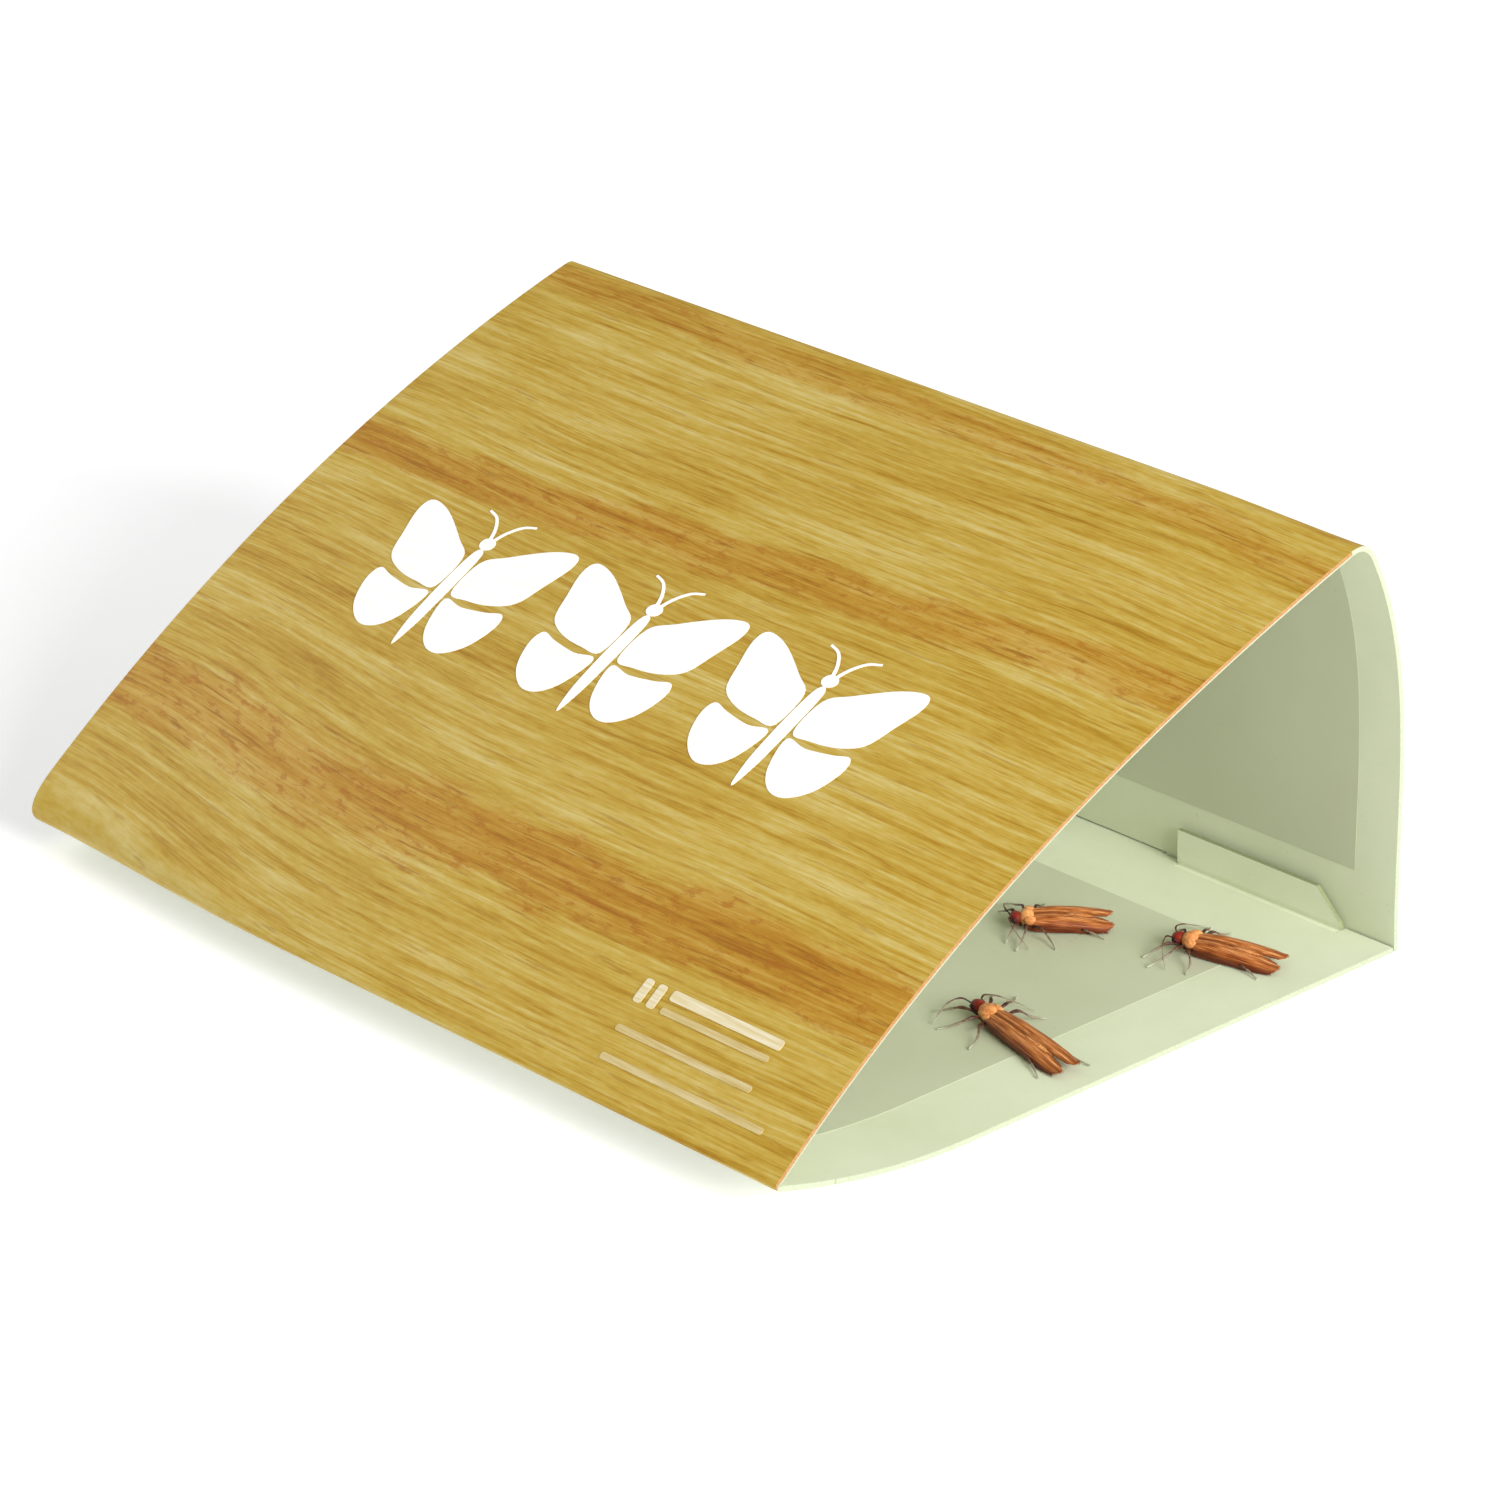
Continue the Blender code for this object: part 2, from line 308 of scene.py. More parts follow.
def slab_faces(keep, row_slots):
    """The faces of a slab's kept cells, and each face's slot.

    Its vertices are three grids in turn: the outer face, the inner face, and the line along the
    cut edge where the print's ink ends.
    """
    nx, ns = keep.shape[0] + 1, keep.shape[1] + 1
    inner = nx * ns
    middle = 2 * inner
    faces = []
    slots = []
    for i, j in zip(*np.nonzero(keep)):
        face_slots = row_slots[j] if row_slots else (0, 1, 2, 2)
        ring = (i * ns + j, i * ns + j + 1, (i + 1) * ns + j + 1, (i + 1) * ns + j)
        faces.append(ring)
        faces.append([p + inner for p in reversed(ring)])
        slots += face_slots[:2]
        beside = ((i - 1, j), (i, j + 1), (i + 1, j), (i, j - 1))
        for k, (a, b) in enumerate(beside):
            if not (0 <= a < nx - 1 and 0 <= b < ns - 1 and keep[a, b]):
                p = ring[k]
                q = ring[(k + 1) % 4]
                faces.append((q, p, p + middle, q + middle))
                faces.append((q + middle, p + middle, p + inner, q + inner))
                slots += face_slots[2:]
    return faces, slots


def slab(name, outer, inner, uv, materials, row_slots=None, missing=None, rounding=EDGE_ROUND):
    """A closed sheet between two point grids, without its missing cells.

    Both faces draw in by rounding at the sheet's two ends in X, which is done in the grids
    themselves. A row's slots are its outer face, its inner face, and the outer and inner part of
    its cut edge.
    """
    keep = np.ones((len(outer) - 1, outer.shape[1] - 1), bool) if missing is None else ~missing
    middle = outer * (1.0 - EDGE_SPLIT) + inner * EDGE_SPLIT
    side = np.sign(outer[-1, 0, 0] - outer[0, 0, 0]) * rounding
    for face in (outer, inner):
        face[0, :, 0] += side
        face[-1, :, 0] -= side
    verts = np.concatenate([grid.reshape(-1, 3) for grid in (outer, inner, middle)])
    uvs = np.concatenate([uv.reshape(-1, 2)] * 3)
    faces, slots = slab_faces(keep, row_slots)
    return add_mesh(name, verts, faces, slots, materials, uvs)


def at_x(x, line):
    """A section line's (y, z) points as places in space."""
    return np.column_stack([np.full(len(line), x), line])


def card_grid(xs):
    """The card's outer and inner faces over a set of X places, and the flat place of each point."""
    outer = []
    inner = []
    for x in xs:
        line = section(x)
        under = line - outward(line) * thickness(x, len(line))[:, None]
        outer.append(at_x(x, line))
        inner.append(at_x(x, under))
    middle = section(0.0)
    steps = np.linalg.norm(np.diff(middle, axis=0), axis=1)
    flat = np.concatenate([[0.0], np.cumsum(steps)])
    flat -= flat[SEAM_RIDGE + FOLD_STEPS // 2]
    uv = np.zeros((len(xs), len(flat), 2))
    uv[..., 0] = xs[:, None] / UV_UNIT
    uv[..., 1] = flat[None, :] / UV_UNIT
    return np.array(outer), np.array(inner), uv


def tube(points, radii, sides):
    """Vertices and faces of a round tube along points, closed at both ends."""
    points = [Vector(p) for p in points]
    # Near the vertical, and along no tube here
    slanted = Vector((0.13, 0.21, 1.0))
    verts = []
    for i, point in enumerate(points):
        along = (points[min(i + 1, len(points) - 1)] - points[max(i - 1, 0)]).normalized()
        side = along.cross(slanted).normalized()
        up = side.cross(along)
        for k in range(sides):
            angle = 2.0 * math.pi * k / sides
            verts.append(point + (side * math.cos(angle) + up * math.sin(angle)) * radii[i])
    faces = []
    for i in range(len(points) - 1):
        for k in range(sides):
            m = (k + 1) % sides
            faces.append((i * sides + k, i * sides + m, (i + 1) * sides + m, (i + 1) * sides + k))
    faces.append(tuple(range(sides)))
    faces.append(tuple(len(verts) - 1 - k for k in range(sides)))
    return verts, faces


def smooth_path(points, steps):
    """A smooth curve through the points (Catmull-Rom)."""
    p = [Vector(q) for q in points]
    p = [p[0] * 2 - p[1]] + p + [p[-1] * 2 - p[-2]]
    made = []
    for i in range(1, len(p) - 2):
        for k in range(steps):
            t = k / steps
            made.append(0.5 * (2 * p[i] + (p[i + 1] - p[i - 1]) * t
                               + (2 * p[i - 1] - 5 * p[i] + 4 * p[i + 1] - p[i + 2]) * t * t
                               + (3 * p[i] - 3 * p[i + 1] + p[i + 2] - p[i - 1]) * t ** 3))
    made.append(p[-2])
    return made


# ---------------------------------------------------------------- materials


def srgb(r, g, b):
    """A colour given as it looks on screen, 0 to 255, in linear light."""
    def one(c):
        c = c / 255.0
        return c / 12.92 if c <= 0.04045 else ((c + 0.055) / 1.055) ** 2.4
    return (one(r), one(g), one(b), 1.0)


WHITE = (1.0, 1.0, 1.0, 1.0)


class Look:
    """A node material with short calls for the nodes used here."""

    def __init__(self, name, roughness, **constant):
        self.material = bpy.data.materials.new(name)
        self.material.use_nodes = True
        self.tree = self.material.node_tree
        self.shader = self.tree.nodes["Principled BSDF"]
        self.shader.inputs["Roughness"].default_value = roughness
        for socket, value in constant.items():
            self.shader.inputs[socket.replace("_", " ")].default_value = value

    def node(self, kind, **settings):
        made = self.tree.nodes.new("ShaderNode" + kind)
        for key, value in settings.items():
            setattr(made, key, value)
        return made

    def put(self, value, socket):
        if isinstance(value, bpy.types.NodeSocket):
            self.tree.links.new(value, socket)
        else:
            socket.default_value = value

    def flat(self):
        """The flat place, from the UV map. On card 1 is 100 mm, and on a moth it is a share."""
        return self.node("UVMap", uv_map="flat").outputs["UV"]

    def place(self):
        return self.node("TexCoord").outputs["Object"]

    def stretch(self, vector, scale, shift):
        made = self.node("Mapping")
        self.put(vector, made.inputs["Vector"])
        made.inputs["Scale"].default_value = scale
        made.inputs["Location"].default_value = shift
        return made.outputs["Vector"]

    def noise(self, vector, scale, detail, roughness=0.5, shift=(0.0, 0.0, 0.0)):
        """Noise at one scale, or at a scale for each axis and then moved by shift."""
        made = self.node("TexNoise")
        if isinstance(scale, tuple):
            vector = self.stretch(vector, scale, shift)
            scale = 1.0
        self.put(vector, made.inputs["Vector"])
        made.inputs["Scale"].default_value = scale
        made.inputs["Detail"].default_value = detail
        made.inputs["Roughness"].default_value = roughness
        return made.outputs["Fac"]

    def math(self, operation, a, b=0.0):
        made = self.node("Math", operation=operation)
        self.put(a, made.inputs[0])
        self.put(b, made.inputs[1])
        return made.outputs[0]

    def plus(self, a, b):
        return self.math("ADD", a, b)

    def minus(self, a, b):
        return self.math("SUBTRACT", a, b)

    def times(self, a, b):
        return self.math("MULTIPLY", a, b)

    def total(self, first, *others):
        """The sum of (value, share) pairs, each value times its share."""
        made = self.times(*first)
        for pair in others:
            made = self.plus(made, self.times(*pair))
        return made

    def span(self, value, low, high, to_low=0.0, to_high=1.0):
        """value taken smoothly from the range low to high into to_low to to_high."""
        made = self.node("MapRange", interpolation_type="SMOOTHSTEP")
        self.put(value, made.inputs["Value"])
        made.inputs["From Min"].default_value = low
        made.inputs["From Max"].default_value = high
        made.inputs["To Min"].default_value = to_low
        made.inputs["To Max"].default_value = to_high
        return made.outputs["Result"]

    def ramp(self, value, *stops):
        made = self.node("ValToRGB")
        self.put(value, made.inputs["Fac"])
        elements = made.color_ramp.elements
        while len(elements) < len(stops):
            elements.new(0.5)
        for element, (position, colour) in zip(elements, stops):
            element.position = position
            element.color = colour
        return made.outputs["Color"]

    def mix(self, share, a, b):
        made = self.node("Mix", data_type="RGBA")
        self.put(share, made.inputs[0])
        self.put(a, made.inputs[6])
        self.put(b, made.inputs[7])
        return made.outputs[2]

    def tint(self, base, value, low, high, amount, colour):
        """base with colour mixed in, up to amount, as value rises from low to high."""
        return self.mix(self.times(self.span(value, low, high), amount), base, colour)

    def axis(self, vector, name):
        made = self.node("SeparateXYZ")
        self.put(vector, made.inputs[0])
        return made.outputs[name]

    def colour(self, value):
        self.put(value, self.shader.inputs["Base Color"])

    def rough(self, value):
        self.put(value, self.shader.inputs["Roughness"])

    def bump(self, height, strength, distance):
        made = self.node("Bump")
        self.put(height, made.inputs["Height"])
        made.inputs["Strength"].default_value = strength
        made.inputs["Distance"].default_value = distance
        self.put(made.outputs["Normal"], self.shader.inputs["Normal"])


# Darker bands of the wood grain: place across the flat card, slope along it, half width, how ragged
# their sides are, and strength
WOOD_BANDS = (
    (-0.335, 0.085, 0.034, 1.9, 0.62),
    (-0.800, 0.040, 0.052, 2.4, 0.68),
    (-0.045, -0.02, 0.026, 2.2, 0.45),
    (0.270, 0.06, 0.045, 2.2, 0.55),
)


def wood_band(look, flat, place, slope, half_width, ragged, strength):
    """One broad darker band of grain, 0 outside it."""
    wave = look.noise(flat, (1.1, 0.8, 1.0), 2.0, shift=(place * 3.0, 0.0, 0.0))
    tatter = look.noise(flat, (7.0, 34.0, 1.0), 6.0, 0.68, shift=(0.0, place * 5.0, 0.0))
    middle = look.plus(look.times(look.axis(flat, "X"), slope), place - 0.05)
    middle = look.plus(middle, look.times(wave, 0.10))
    away = look.math("ABSOLUTE", look.minus(look.axis(flat, "Y"), middle))
    away = look.math("DIVIDE", away, half_width)
    away = look.plus(away, look.times(look.minus(tatter, 0.5), ragged))
    return look.times(look.span(away, 0.55, 1.15, 1.0, 0.0), strength)


def wood_bands(look, flat):
    """All the bands, the strongest where they meet."""
    made = wood_band(look, flat, *WOOD_BANDS[0])
    for band in WOOD_BANDS[1:]:
        made = look.math("MAXIMUM", made, wood_band(look, flat, *band))
    return made


def bent(look, flat):
    """The flat place shifted a little across the card, which bends the grain."""
    warp = look.noise(flat, (0.9, 2.2, 1.0), 2.0)
    shift = look.node("CombineXYZ")
    look.put(look.times(look.minus(warp, 0.5), 0.032), shift.inputs["Y"])
    moved = look.node("VectorMath", operation="ADD")
    look.put(flat, moved.inputs[0])
    look.put(shift.outputs[0], moved.inputs[1])
    return moved.outputs[0]


def wood_print(name):
    """Coated card printed with a yellow-brown wood grain that runs along the trap."""
    look = Look(name, roughness=0.5, Specular_IOR_Level=0.2)
    flat = look.flat()
    grain = bent(look, flat)
    shade = look.noise(grain, (1.4, 13.0, 1.0), 4.0, 0.6, shift=(3.1, 0.4, 0.0))
    lines = look.noise(grain, (3.6, 84.0, 1.0), 5.0, 0.68)
    hairs = look.noise(grain, (11.0, 310.0, 1.0), 3.0, 0.6)
    dashes = look.noise(grain, (9.0, 165.0, 1.0), 3.0, 0.6, shift=(7.0, 2.0, 0.0))
    speck = look.noise(flat, (60.0, 170.0, 1.0), 2.0)
    mottle = look.noise(flat, (30.0, 75.0, 1.0), 5.0, 0.7, shift=(1.7, 5.2, 0.0))
    tone = look.total((lines, 0.46), (hairs, 0.24), (shade, 0.22), (speck, 0.08))
    base = look.ramp(tone,
                     (0.37, srgb(160, 114, 14)),
                     (0.44, srgb(182, 143, 40)),
                     (0.51, srgb(196, 165, 68)),
                     (0.61, srgb(212, 192, 118)))
    deep = look.ramp(tone,
                     (0.38, srgb(156, 90, 2)),
                     (0.49, srgb(180, 124, 18)),
                     (0.62, srgb(200, 158, 60)))
    bands = wood_bands(look, flat)
    banded = look.mix(bands, base, deep)
    mottled = look.tint(banded, mottle, 0.53, 0.62, look.times(bands, 0.85), srgb(164, 98, 10))
    dashed = look.plus(look.times(bands, 0.5), 0.36)
    look.colour(look.tint(mottled, dashes, 0.575, 0.66, dashed, srgb(148, 96, 8)))
    look.rough(look.span(hairs, 0.3, 0.7, 0.52, 0.42))
    look.bump(tone, 0.10, 0.0002)
    return look.material


def pale_card(name, light, dark):
    """Pale green-white card: faint mottling, fine fibres and a soft matte surface."""
    look = Look(name, roughness=0.72, Specular_IOR_Level=0.3)
    place = look.place()
    cloud = look.noise(place, 55.0, 4.0, 0.6)
    fibre = look.noise(place, (900.0, 2600.0, 2600.0), 3.0, 0.6)
    fleck = look.noise(place, 1500.0, 2.0)
    base = look.ramp(cloud, (0.35, srgb(*dark)), (0.65, srgb(*light)))
    fibres = look.tint(base, fibre, 0.60, 0.75, 0.30, srgb(206, 213, 181))
    look.colour(look.tint(fibres, fleck, 0.71, 0.77, 0.20, srgb(170, 168, 132)))
    look.rough(look.span(cloud, 0.3, 0.7, 0.66, 0.78))
    look.bump(look.plus(fibre, look.times(cloud, 0.6)), 0.25, 0.00008)
    return look.material


def cut_edge(name, light, dark):
    """The die-cut edge of the card: its layers show as thin lines."""
    look = Look(name, roughness=0.85, Specular_IOR_Level=0.2)
    layers = look.noise(look.place(), (2500.0, 5200.0, 5200.0), 3.0, 0.7)
    look.colour(look.ramp(layers, (0.35, srgb(*dark)), (0.62, srgb(*light))))
    look.bump(layers, 0.4, 0.00005)
    return look.material


def glue_film(name, light, dark):
    """A thin tacky film over the card: darker, slightly glossy, and uneven where it was spread."""
    look = Look(name, roughness=0.34, Specular_IOR_Level=0.4, Coat_Weight=0.2, Coat_Roughness=0.25)
    place = look.place()
    pool = look.noise(place, 48.0, 2.0)
    grain = look.noise(place, 700.0, 3.0, 0.6)
    comb = look.noise(place, (60.0, 900.0, 900.0), 2.0)
    base = look.ramp(pool, (0.25, srgb(*dark)), (0.75, srgb(*light)))
    streaks = look.tint(base, comb, 0.45, 0.75, 0.25, srgb(196, 202, 170))
    look.colour(look.tint(streaks, grain, 0.66, 0.76, 0.22, srgb(168, 168, 134)))
    look.rough(look.span(pool, 0.3, 0.7, 0.30, 0.42))
    height = look.plus(pool, look.times(comb, 0.35))
    look.bump(look.plus(height, look.times(grain, 0.25)), 0.25, 0.00015)
    return look.material


def white_ink_painted_glow(name):
    """White print: opaque, with pinholes and faint streaks where the card's print shows through, and a
    faint painted glow.
    """
    # The ink's weak white emission is painted light: a glow that makes the print brighter than its
    # lighting alone does
    look = Look(name, roughness=0.5, Specular_IOR_Level=0.35, Emission_Color=WHITE, Emission_Strength=0.10)
    flat = look.flat()
    streak = look.noise(flat, (11.0, 240.0, 1.0), 3.0, 0.6)
    pinhole = look.noise(flat, (420.0, 420.0, 1.0), 2.0)
    base = look.ramp(streak, (0.35, srgb(247, 245, 237)), (0.62, srgb(255, 254, 251)))
    look.colour(look.tint(base, pinhole, 0.70, 0.78, 0.5, srgb(216, 196, 140)))
    look.bump(pinhole, 0.1, 0.00002)
    return look.material


def faint_ink(name, light, dark):
    """The small print: white ink laid thin over the grain."""
    look = Look(name, roughness=0.5, Specular_IOR_Level=0.3)
    streak = look.noise(look.flat(), (14.0, 240.0, 1.0), 3.0, 0.6)
    look.colour(look.ramp(streak, (0.35, srgb(*dark)), (0.65, srgb(*light))))
    look.bump(streak, 0.1, 0.00002)
    return look.material


def moth_wing(name):
    """Coppery scaled wings: streaked along the wing, with a painted highlight over the back and painted
    shade at the rim and in the seam between the wings.
    """
    look = Look(name, roughness=0.42, Specular_IOR_Level=0.3, Sheen_Weight=0.05, Sheen_Roughness=0.4)
    flat = look.flat()
    across = look.axis(flat, "Y")
    streak = look.noise(flat, (2.6, 13.0, 1.0), 4.0, 0.62)
    scales = look.noise(flat, (60.0, 42.0, 1.0), 3.0, 0.7)
    fine = look.noise(flat, (6.0, 60.0, 1.0), 2.0)
    # The tone is lighter towards the seam over the back and darker towards the rim: painted highlight and
    # painted shade
    tone = look.minus(look.total((streak, 0.65), (fine, 0.35)), look.times(across, 0.12))
    base = look.ramp(tone,
                     (0.31, srgb(82, 26, 2)),
                     (0.40, srgb(138, 66, 20)),
                     (0.48, srgb(184, 106, 48)),
                     (0.60, srgb(246, 178, 120)))
    # Painted shade along the rim, where the wing comes down to the glue
    rim_painted_shade = look.tint(base, across, 0.66, 0.92, 0.75, srgb(86, 28, 4))
    # Painted shade in the seam between the two wings, strongest at the seam and gone a little way over the
    # back
    fold = look.span(across, 0.0, 0.07, 1.0, 0.0)
    seam_painted_shade = look.mix(look.times(fold, 0.7), rim_painted_shade, srgb(92, 36, 8))
    tipped = look.tint(seam_painted_shade, look.axis(flat, "X"), 0.82, 1.0, 0.4, srgb(128, 62, 20))
    look.colour(look.tint(tipped, scales, 0.54, 0.70, 0.35, srgb(84, 34, 8)))
    look.rough(look.span(scales, 0.3, 0.7, 0.36, 0.55))
    look.bump(look.plus(scales, look.times(fine, 0.8)), 0.45, 0.00006)
    return look.material


def moth_body(name, light, dark):
    """Downy body scales."""
    look = Look(name, roughness=0.6, Specular_IOR_Level=0.25, Sheen_Weight=0.08, Sheen_Roughness=0.5)
    place = look.place()
    down = look.noise(place, 3200.0, 4.0, 0.7)
    tuft = look.noise(place, 900.0, 2.0)
    tone = look.total((down, 0.6), (tuft, 0.4))
    look.colour(look.ramp(tone, (0.38, srgb(*dark)), (0.60, srgb(*light))))
    look.bump(down, 0.6, 0.00008)
    return look.material


def moth_limb(name):
    """Thin legs and feelers: dark and banded at the root, fading to a pale grey-tan tip."""
    look = Look(name, roughness=0.55, Specular_IOR_Level=0.4)
    flat = look.flat()
    patches = look.noise(flat, (9.0, 3.0, 1.0), 2.0)
    along = look.plus(look.axis(flat, "X"), look.times(look.minus(patches, 0.5), 0.7))
    look.colour(look.ramp(along,
                          (0.14, srgb(38, 12, 8)),
                          (0.38, srgb(86, 42, 26)),
                          (0.58, srgb(128, 108, 90)),
                          (1.00, srgb(176, 176, 154))))
    look.bump(patches, 0.3, 0.00003)
    return look.material


def rubber(name):
    """The lure's soft red-brown rubber, with a dusty bloom."""
    look = Look(name, roughness=0.62, Specular_IOR_Level=0.4)
    place = look.place()
    bloom = look.noise(place, 260.0, 4.0, 0.6)
    grit = look.noise(place, 1800.0, 2.0)
    base = look.ramp(bloom, (0.35, srgb(150, 84, 58)), (0.68, srgb(178, 112, 82)))
    look.colour(look.tint(base, grit, 0.62, 0.74, 0.3, srgb(205, 160, 130)))
    look.rough(look.span(bloom, 0.3, 0.7, 0.52, 0.70))
    look.bump(grit, 0.3, 0.00005)
    return look.material


def stage_paper(name):
    """The plain pale floor under the object."""
    look = Look(name, roughness=0.9, Specular_IOR_Level=0.1, Emission_Color=WHITE, Emission_Strength=0.26)
    tone = look.noise(look.place(), 6.0, 2.0)
    look.colour(look.ramp(tone, (0.3, (0.93, 0.93, 0.93, 1.0)), (0.7, (0.95, 0.95, 0.95, 1.0))))
    return look.material


# ---------------------------------------------------------------- the card's pieces


def in_range(values, low, high):
    """Which steps between the values have their middle between low and high."""
    middle = (values[1:] + values[:-1]) / 2.0
    return (middle > low) & (middle < high)


def rows(grids, first, last):
    """The card's grids from one row to another. Both sheets at a seam round the row they share."""
    return [grid[:, first:last + 1] for grid in grids]


def build_floor_card(looks, xs, grids):
    """The floor, less the strips that stand up as tabs."""
    missing = np.zeros((len(xs) - 1, SEAM_FLOOR), bool)
    missing[in_range(np.abs(xs), *TAB_X), :REAR_STEPS] = True
    floor = slab("floor_card", *rows(grids, 0, SEAM_FLOOR),
                 [looks["under"], looks["pale"], looks["pale_edge"]], missing=missing)
    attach(floor, "floor")
    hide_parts("floor_panel")


def build_front_card(looks, grids):
    """The front and its lower fold, plain outside up to where the print starts."""
    plain = PRINT_START - SEAM_FLOOR
    printed = SEAM_RIDGE - PRINT_START
    front = slab("front_card", *rows(grids, SEAM_FLOOR, SEAM_RIDGE),
                 [looks["wood"], looks["pale"], looks["tan_edge"], looks["pale_edge"], looks["under"]],
                 [(4, 1, 3, 3)] * plain + [(0, 1, 2, 3)] * printed)
    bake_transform(front)
    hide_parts("front_panel")


def build_back_card(looks, xs, grids):
    """The ridge and the back, less the notch that lets the tongue out."""
    last = FOOT_ROW + FOOT_STEPS
    missing = np.zeros((len(xs) - 1, last - SEAM_RIDGE), bool)
    missing[in_range(xs, -NOTCH_HALF, NOTCH_HALF), FOOT_ROW - SEAM_RIDGE:] = True
    back = slab("back_card", *rows(grids, SEAM_RIDGE, last),
                [looks["wood"], looks["pale"], looks["pale_edge"]], missing=missing)
    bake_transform(back)
    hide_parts("back_panel")


def build_card(looks):
    tab_low, tab_high = TAB_X
    xs = along_x(-tab_high, -tab_low, -NOTCH_HALF, NOTCH_HALF, tab_low, tab_high)
    grids = card_grid(xs)
    build_floor_card(looks, xs, grids)
    build_front_card(looks, grids)
    build_back_card(looks, xs, grids)


def build_tongue(looks):
    """The flap's middle: it runs straight out under the back panel and narrows to its tip."""
    straight = np.linspace(FLOOR_REAR_Y, TONGUE_SHOULDER_Y, 8)
    ys = np.concatenate([straight, np.linspace(TONGUE_SHOULDER_Y, TONGUE_TIP_Y, 14)[1:]])
    taper = np.clip((ys - TONGUE_SHOULDER_Y) / (TONGUE_TIP_Y - TONGUE_SHOULDER_Y), 0, 1)
    tip = np.clip((ys - (TONGUE_TIP_Y - TONGUE_TIP_ROUND)) / TONGUE_TIP_ROUND, 0, 1)
    half = TONGUE_HALF - (TONGUE_HALF - TONGUE_TIP_HALF) * taper - TONGUE_TIP_ROUND * tip ** 2
    share = np.linspace(-1.0, 1.0, 60)
    outer = np.zeros((len(share), len(ys), 3))
    outer[..., 0] = share[:, None] * half[None, :]
    outer[..., 1] = ys[None, :]
    inner = outer.copy()
    inner[..., 2] = CARD
    uv = outer[..., :2] / UV_UNIT
    tongue = slab("tongue_card", outer, inner, uv, [looks["under"], looks["pale"], looks["pale_edge"]])
    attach(tongue, "floor")
    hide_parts("locking_tongue")


def tab_section():
    """A tab's outer and inner lines as (y, z), from its top down and round its fold."""
    corner = np.array([TAB_FACE_Y, 0.0])
    wall = np.linspace([TAB_FACE_Y - TAB_TOP_LEAN, TAB_TOP], corner + [0.0, TAB_FOLD], TAB_WALL_POINTS)
    strip = np.linspace(corner - [TAB_FOLD, 0.0], [TAB_ROOT_Y, 0.0], TAB_STRIP_POINTS)
    line = np.concatenate([wall, fillet(wall[-1], corner, strip[0], TAB_FOLD_STEPS), strip])
    thick = np.full(len(line), CARD)
    first = TAB_WALL_POINTS - 1
    u = np.linspace(0, 1, TAB_FOLD_STEPS + 1)
    thick[first:first + TAB_FOLD_STEPS + 1] -= TAB_PRESSED * np.sin(math.pi * u)
    return line, line - outward(line) * thick[:, None]


def build_tab(looks, name, side):
    """An upright tab: the flap's end, folded up against the back panel's inside."""
    tab_low, tab_high = TAB_X
    line, under = tab_section()
    slant = np.clip((line[:, 1] - TAB_SLANT_START) / (TAB_TOP - TAB_SLANT_START), 0, 1)
    outer_x = tab_high - (tab_high - TAB_TOP_OUTER_X) * slant
    share = np.linspace(0.0, 1.0, 26)
    outer = np.zeros((len(share), len(line), 3))
    outer[..., 0] = side * (tab_low + share[:, None] * (outer_x - tab_low)[None, :])
    outer[..., 1:] = line[None]
    inner = outer.copy()
    inner[..., 1:] = under[None]
    uv = outer[..., :2] / UV_UNIT
    # Both faces of the tab use the pale card painted lighter: painted light
    tab = slab(name + "_tab_card", outer, inner, uv,
               # The tab's cut edges are painted darker: painted shade
               [looks["pale_tab_painted_light"], looks["pale_tab_painted_light"], looks["tab_edge_painted_shade"]])
    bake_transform(tab)
    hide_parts(name + "_shoulder_tab")


# ---------------------------------------------------------------- sticky sheets and print


# Points round each film and along the trap, and the shares of the panels' chords they cover
FILM_POINTS = 60
BACK_FILM_POINTS = 40
FRONT_FILM_SPAN = (0.10, 0.90)
BACK_FILM_SPAN = (0.10, 0.845)


def build_sticky(look, name, body, line_at, x_half):
    """A film on a panel's inside. line_at gives the card's outer section at x for that film."""
    outer = []
    inner = []
    for x in np.linspace(-x_half, x_half, FILM_POINTS):
        line = line_at(x)
        normal = outward(line)
        on_card = line - normal * (CARD + FILM_GAP)
        outer.append(at_x(x, on_card))
        inner.append(at_x(x, on_card - normal * FILM))
    outer = np.array(outer)
    inner = np.array(inner)
    uv = np.zeros(outer.shape[:2] + (2,))
    uv[..., 0] = outer[..., 0] / UV_UNIT
    uv[..., 1] = np.arange(outer.shape[1])[None, :] / outer.shape[1]
    film = slab(name + "_film", outer, inner, uv, [look], [(0, 0, 0, 0)] * outer.shape[1], rounding=0.0)
    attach(film, body)
    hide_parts(name)


def build_glue(looks):
    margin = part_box("floor_glue")[1].x
    back_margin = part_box("back_glue")[1].x
    floor_low, floor_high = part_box("floor_glue")
    floor_ys = np.linspace(floor_high.y, floor_low.y, FILM_POINTS)
    front_ts = np.linspace(*FRONT_FILM_SPAN, FILM_POINTS)
    back_ts = np.linspace(*BACK_FILM_SPAN, BACK_FILM_POINTS)
    build_sticky(looks["glue"], "floor_glue", "floor", lambda x: floor_face(x, floor_ys), margin)
    build_sticky(looks["glue"], "front_glue", "front", lambda x: front_face(x, front_ts), margin)
    # The back's film takes the glue painted darker: painted shade
    build_sticky(looks["back_glue"], "back_glue", "back", lambda x: back_face(x, back_ts), back_margin)


# Ink on the front panel: its gap and thickness, and how finely it is cut up to bend with the panel
INK_GAP = 0.000012
INK = 0.00006
PRINT_CELL_X = 0.0060
PRINT_CELL_S = 0.0022


def front_spot(x, s, lift):
    """A place on the printed face: s is the distance down from the ridge, lift the height above it."""
    t = 1.0 - s / FRONT_LENGTH
    line = front_face(x, np.array([t - 0.002, t, t + 0.002]))
    place = line[1] + outward(line)[1] * lift
    return (x, place[0], place[1])


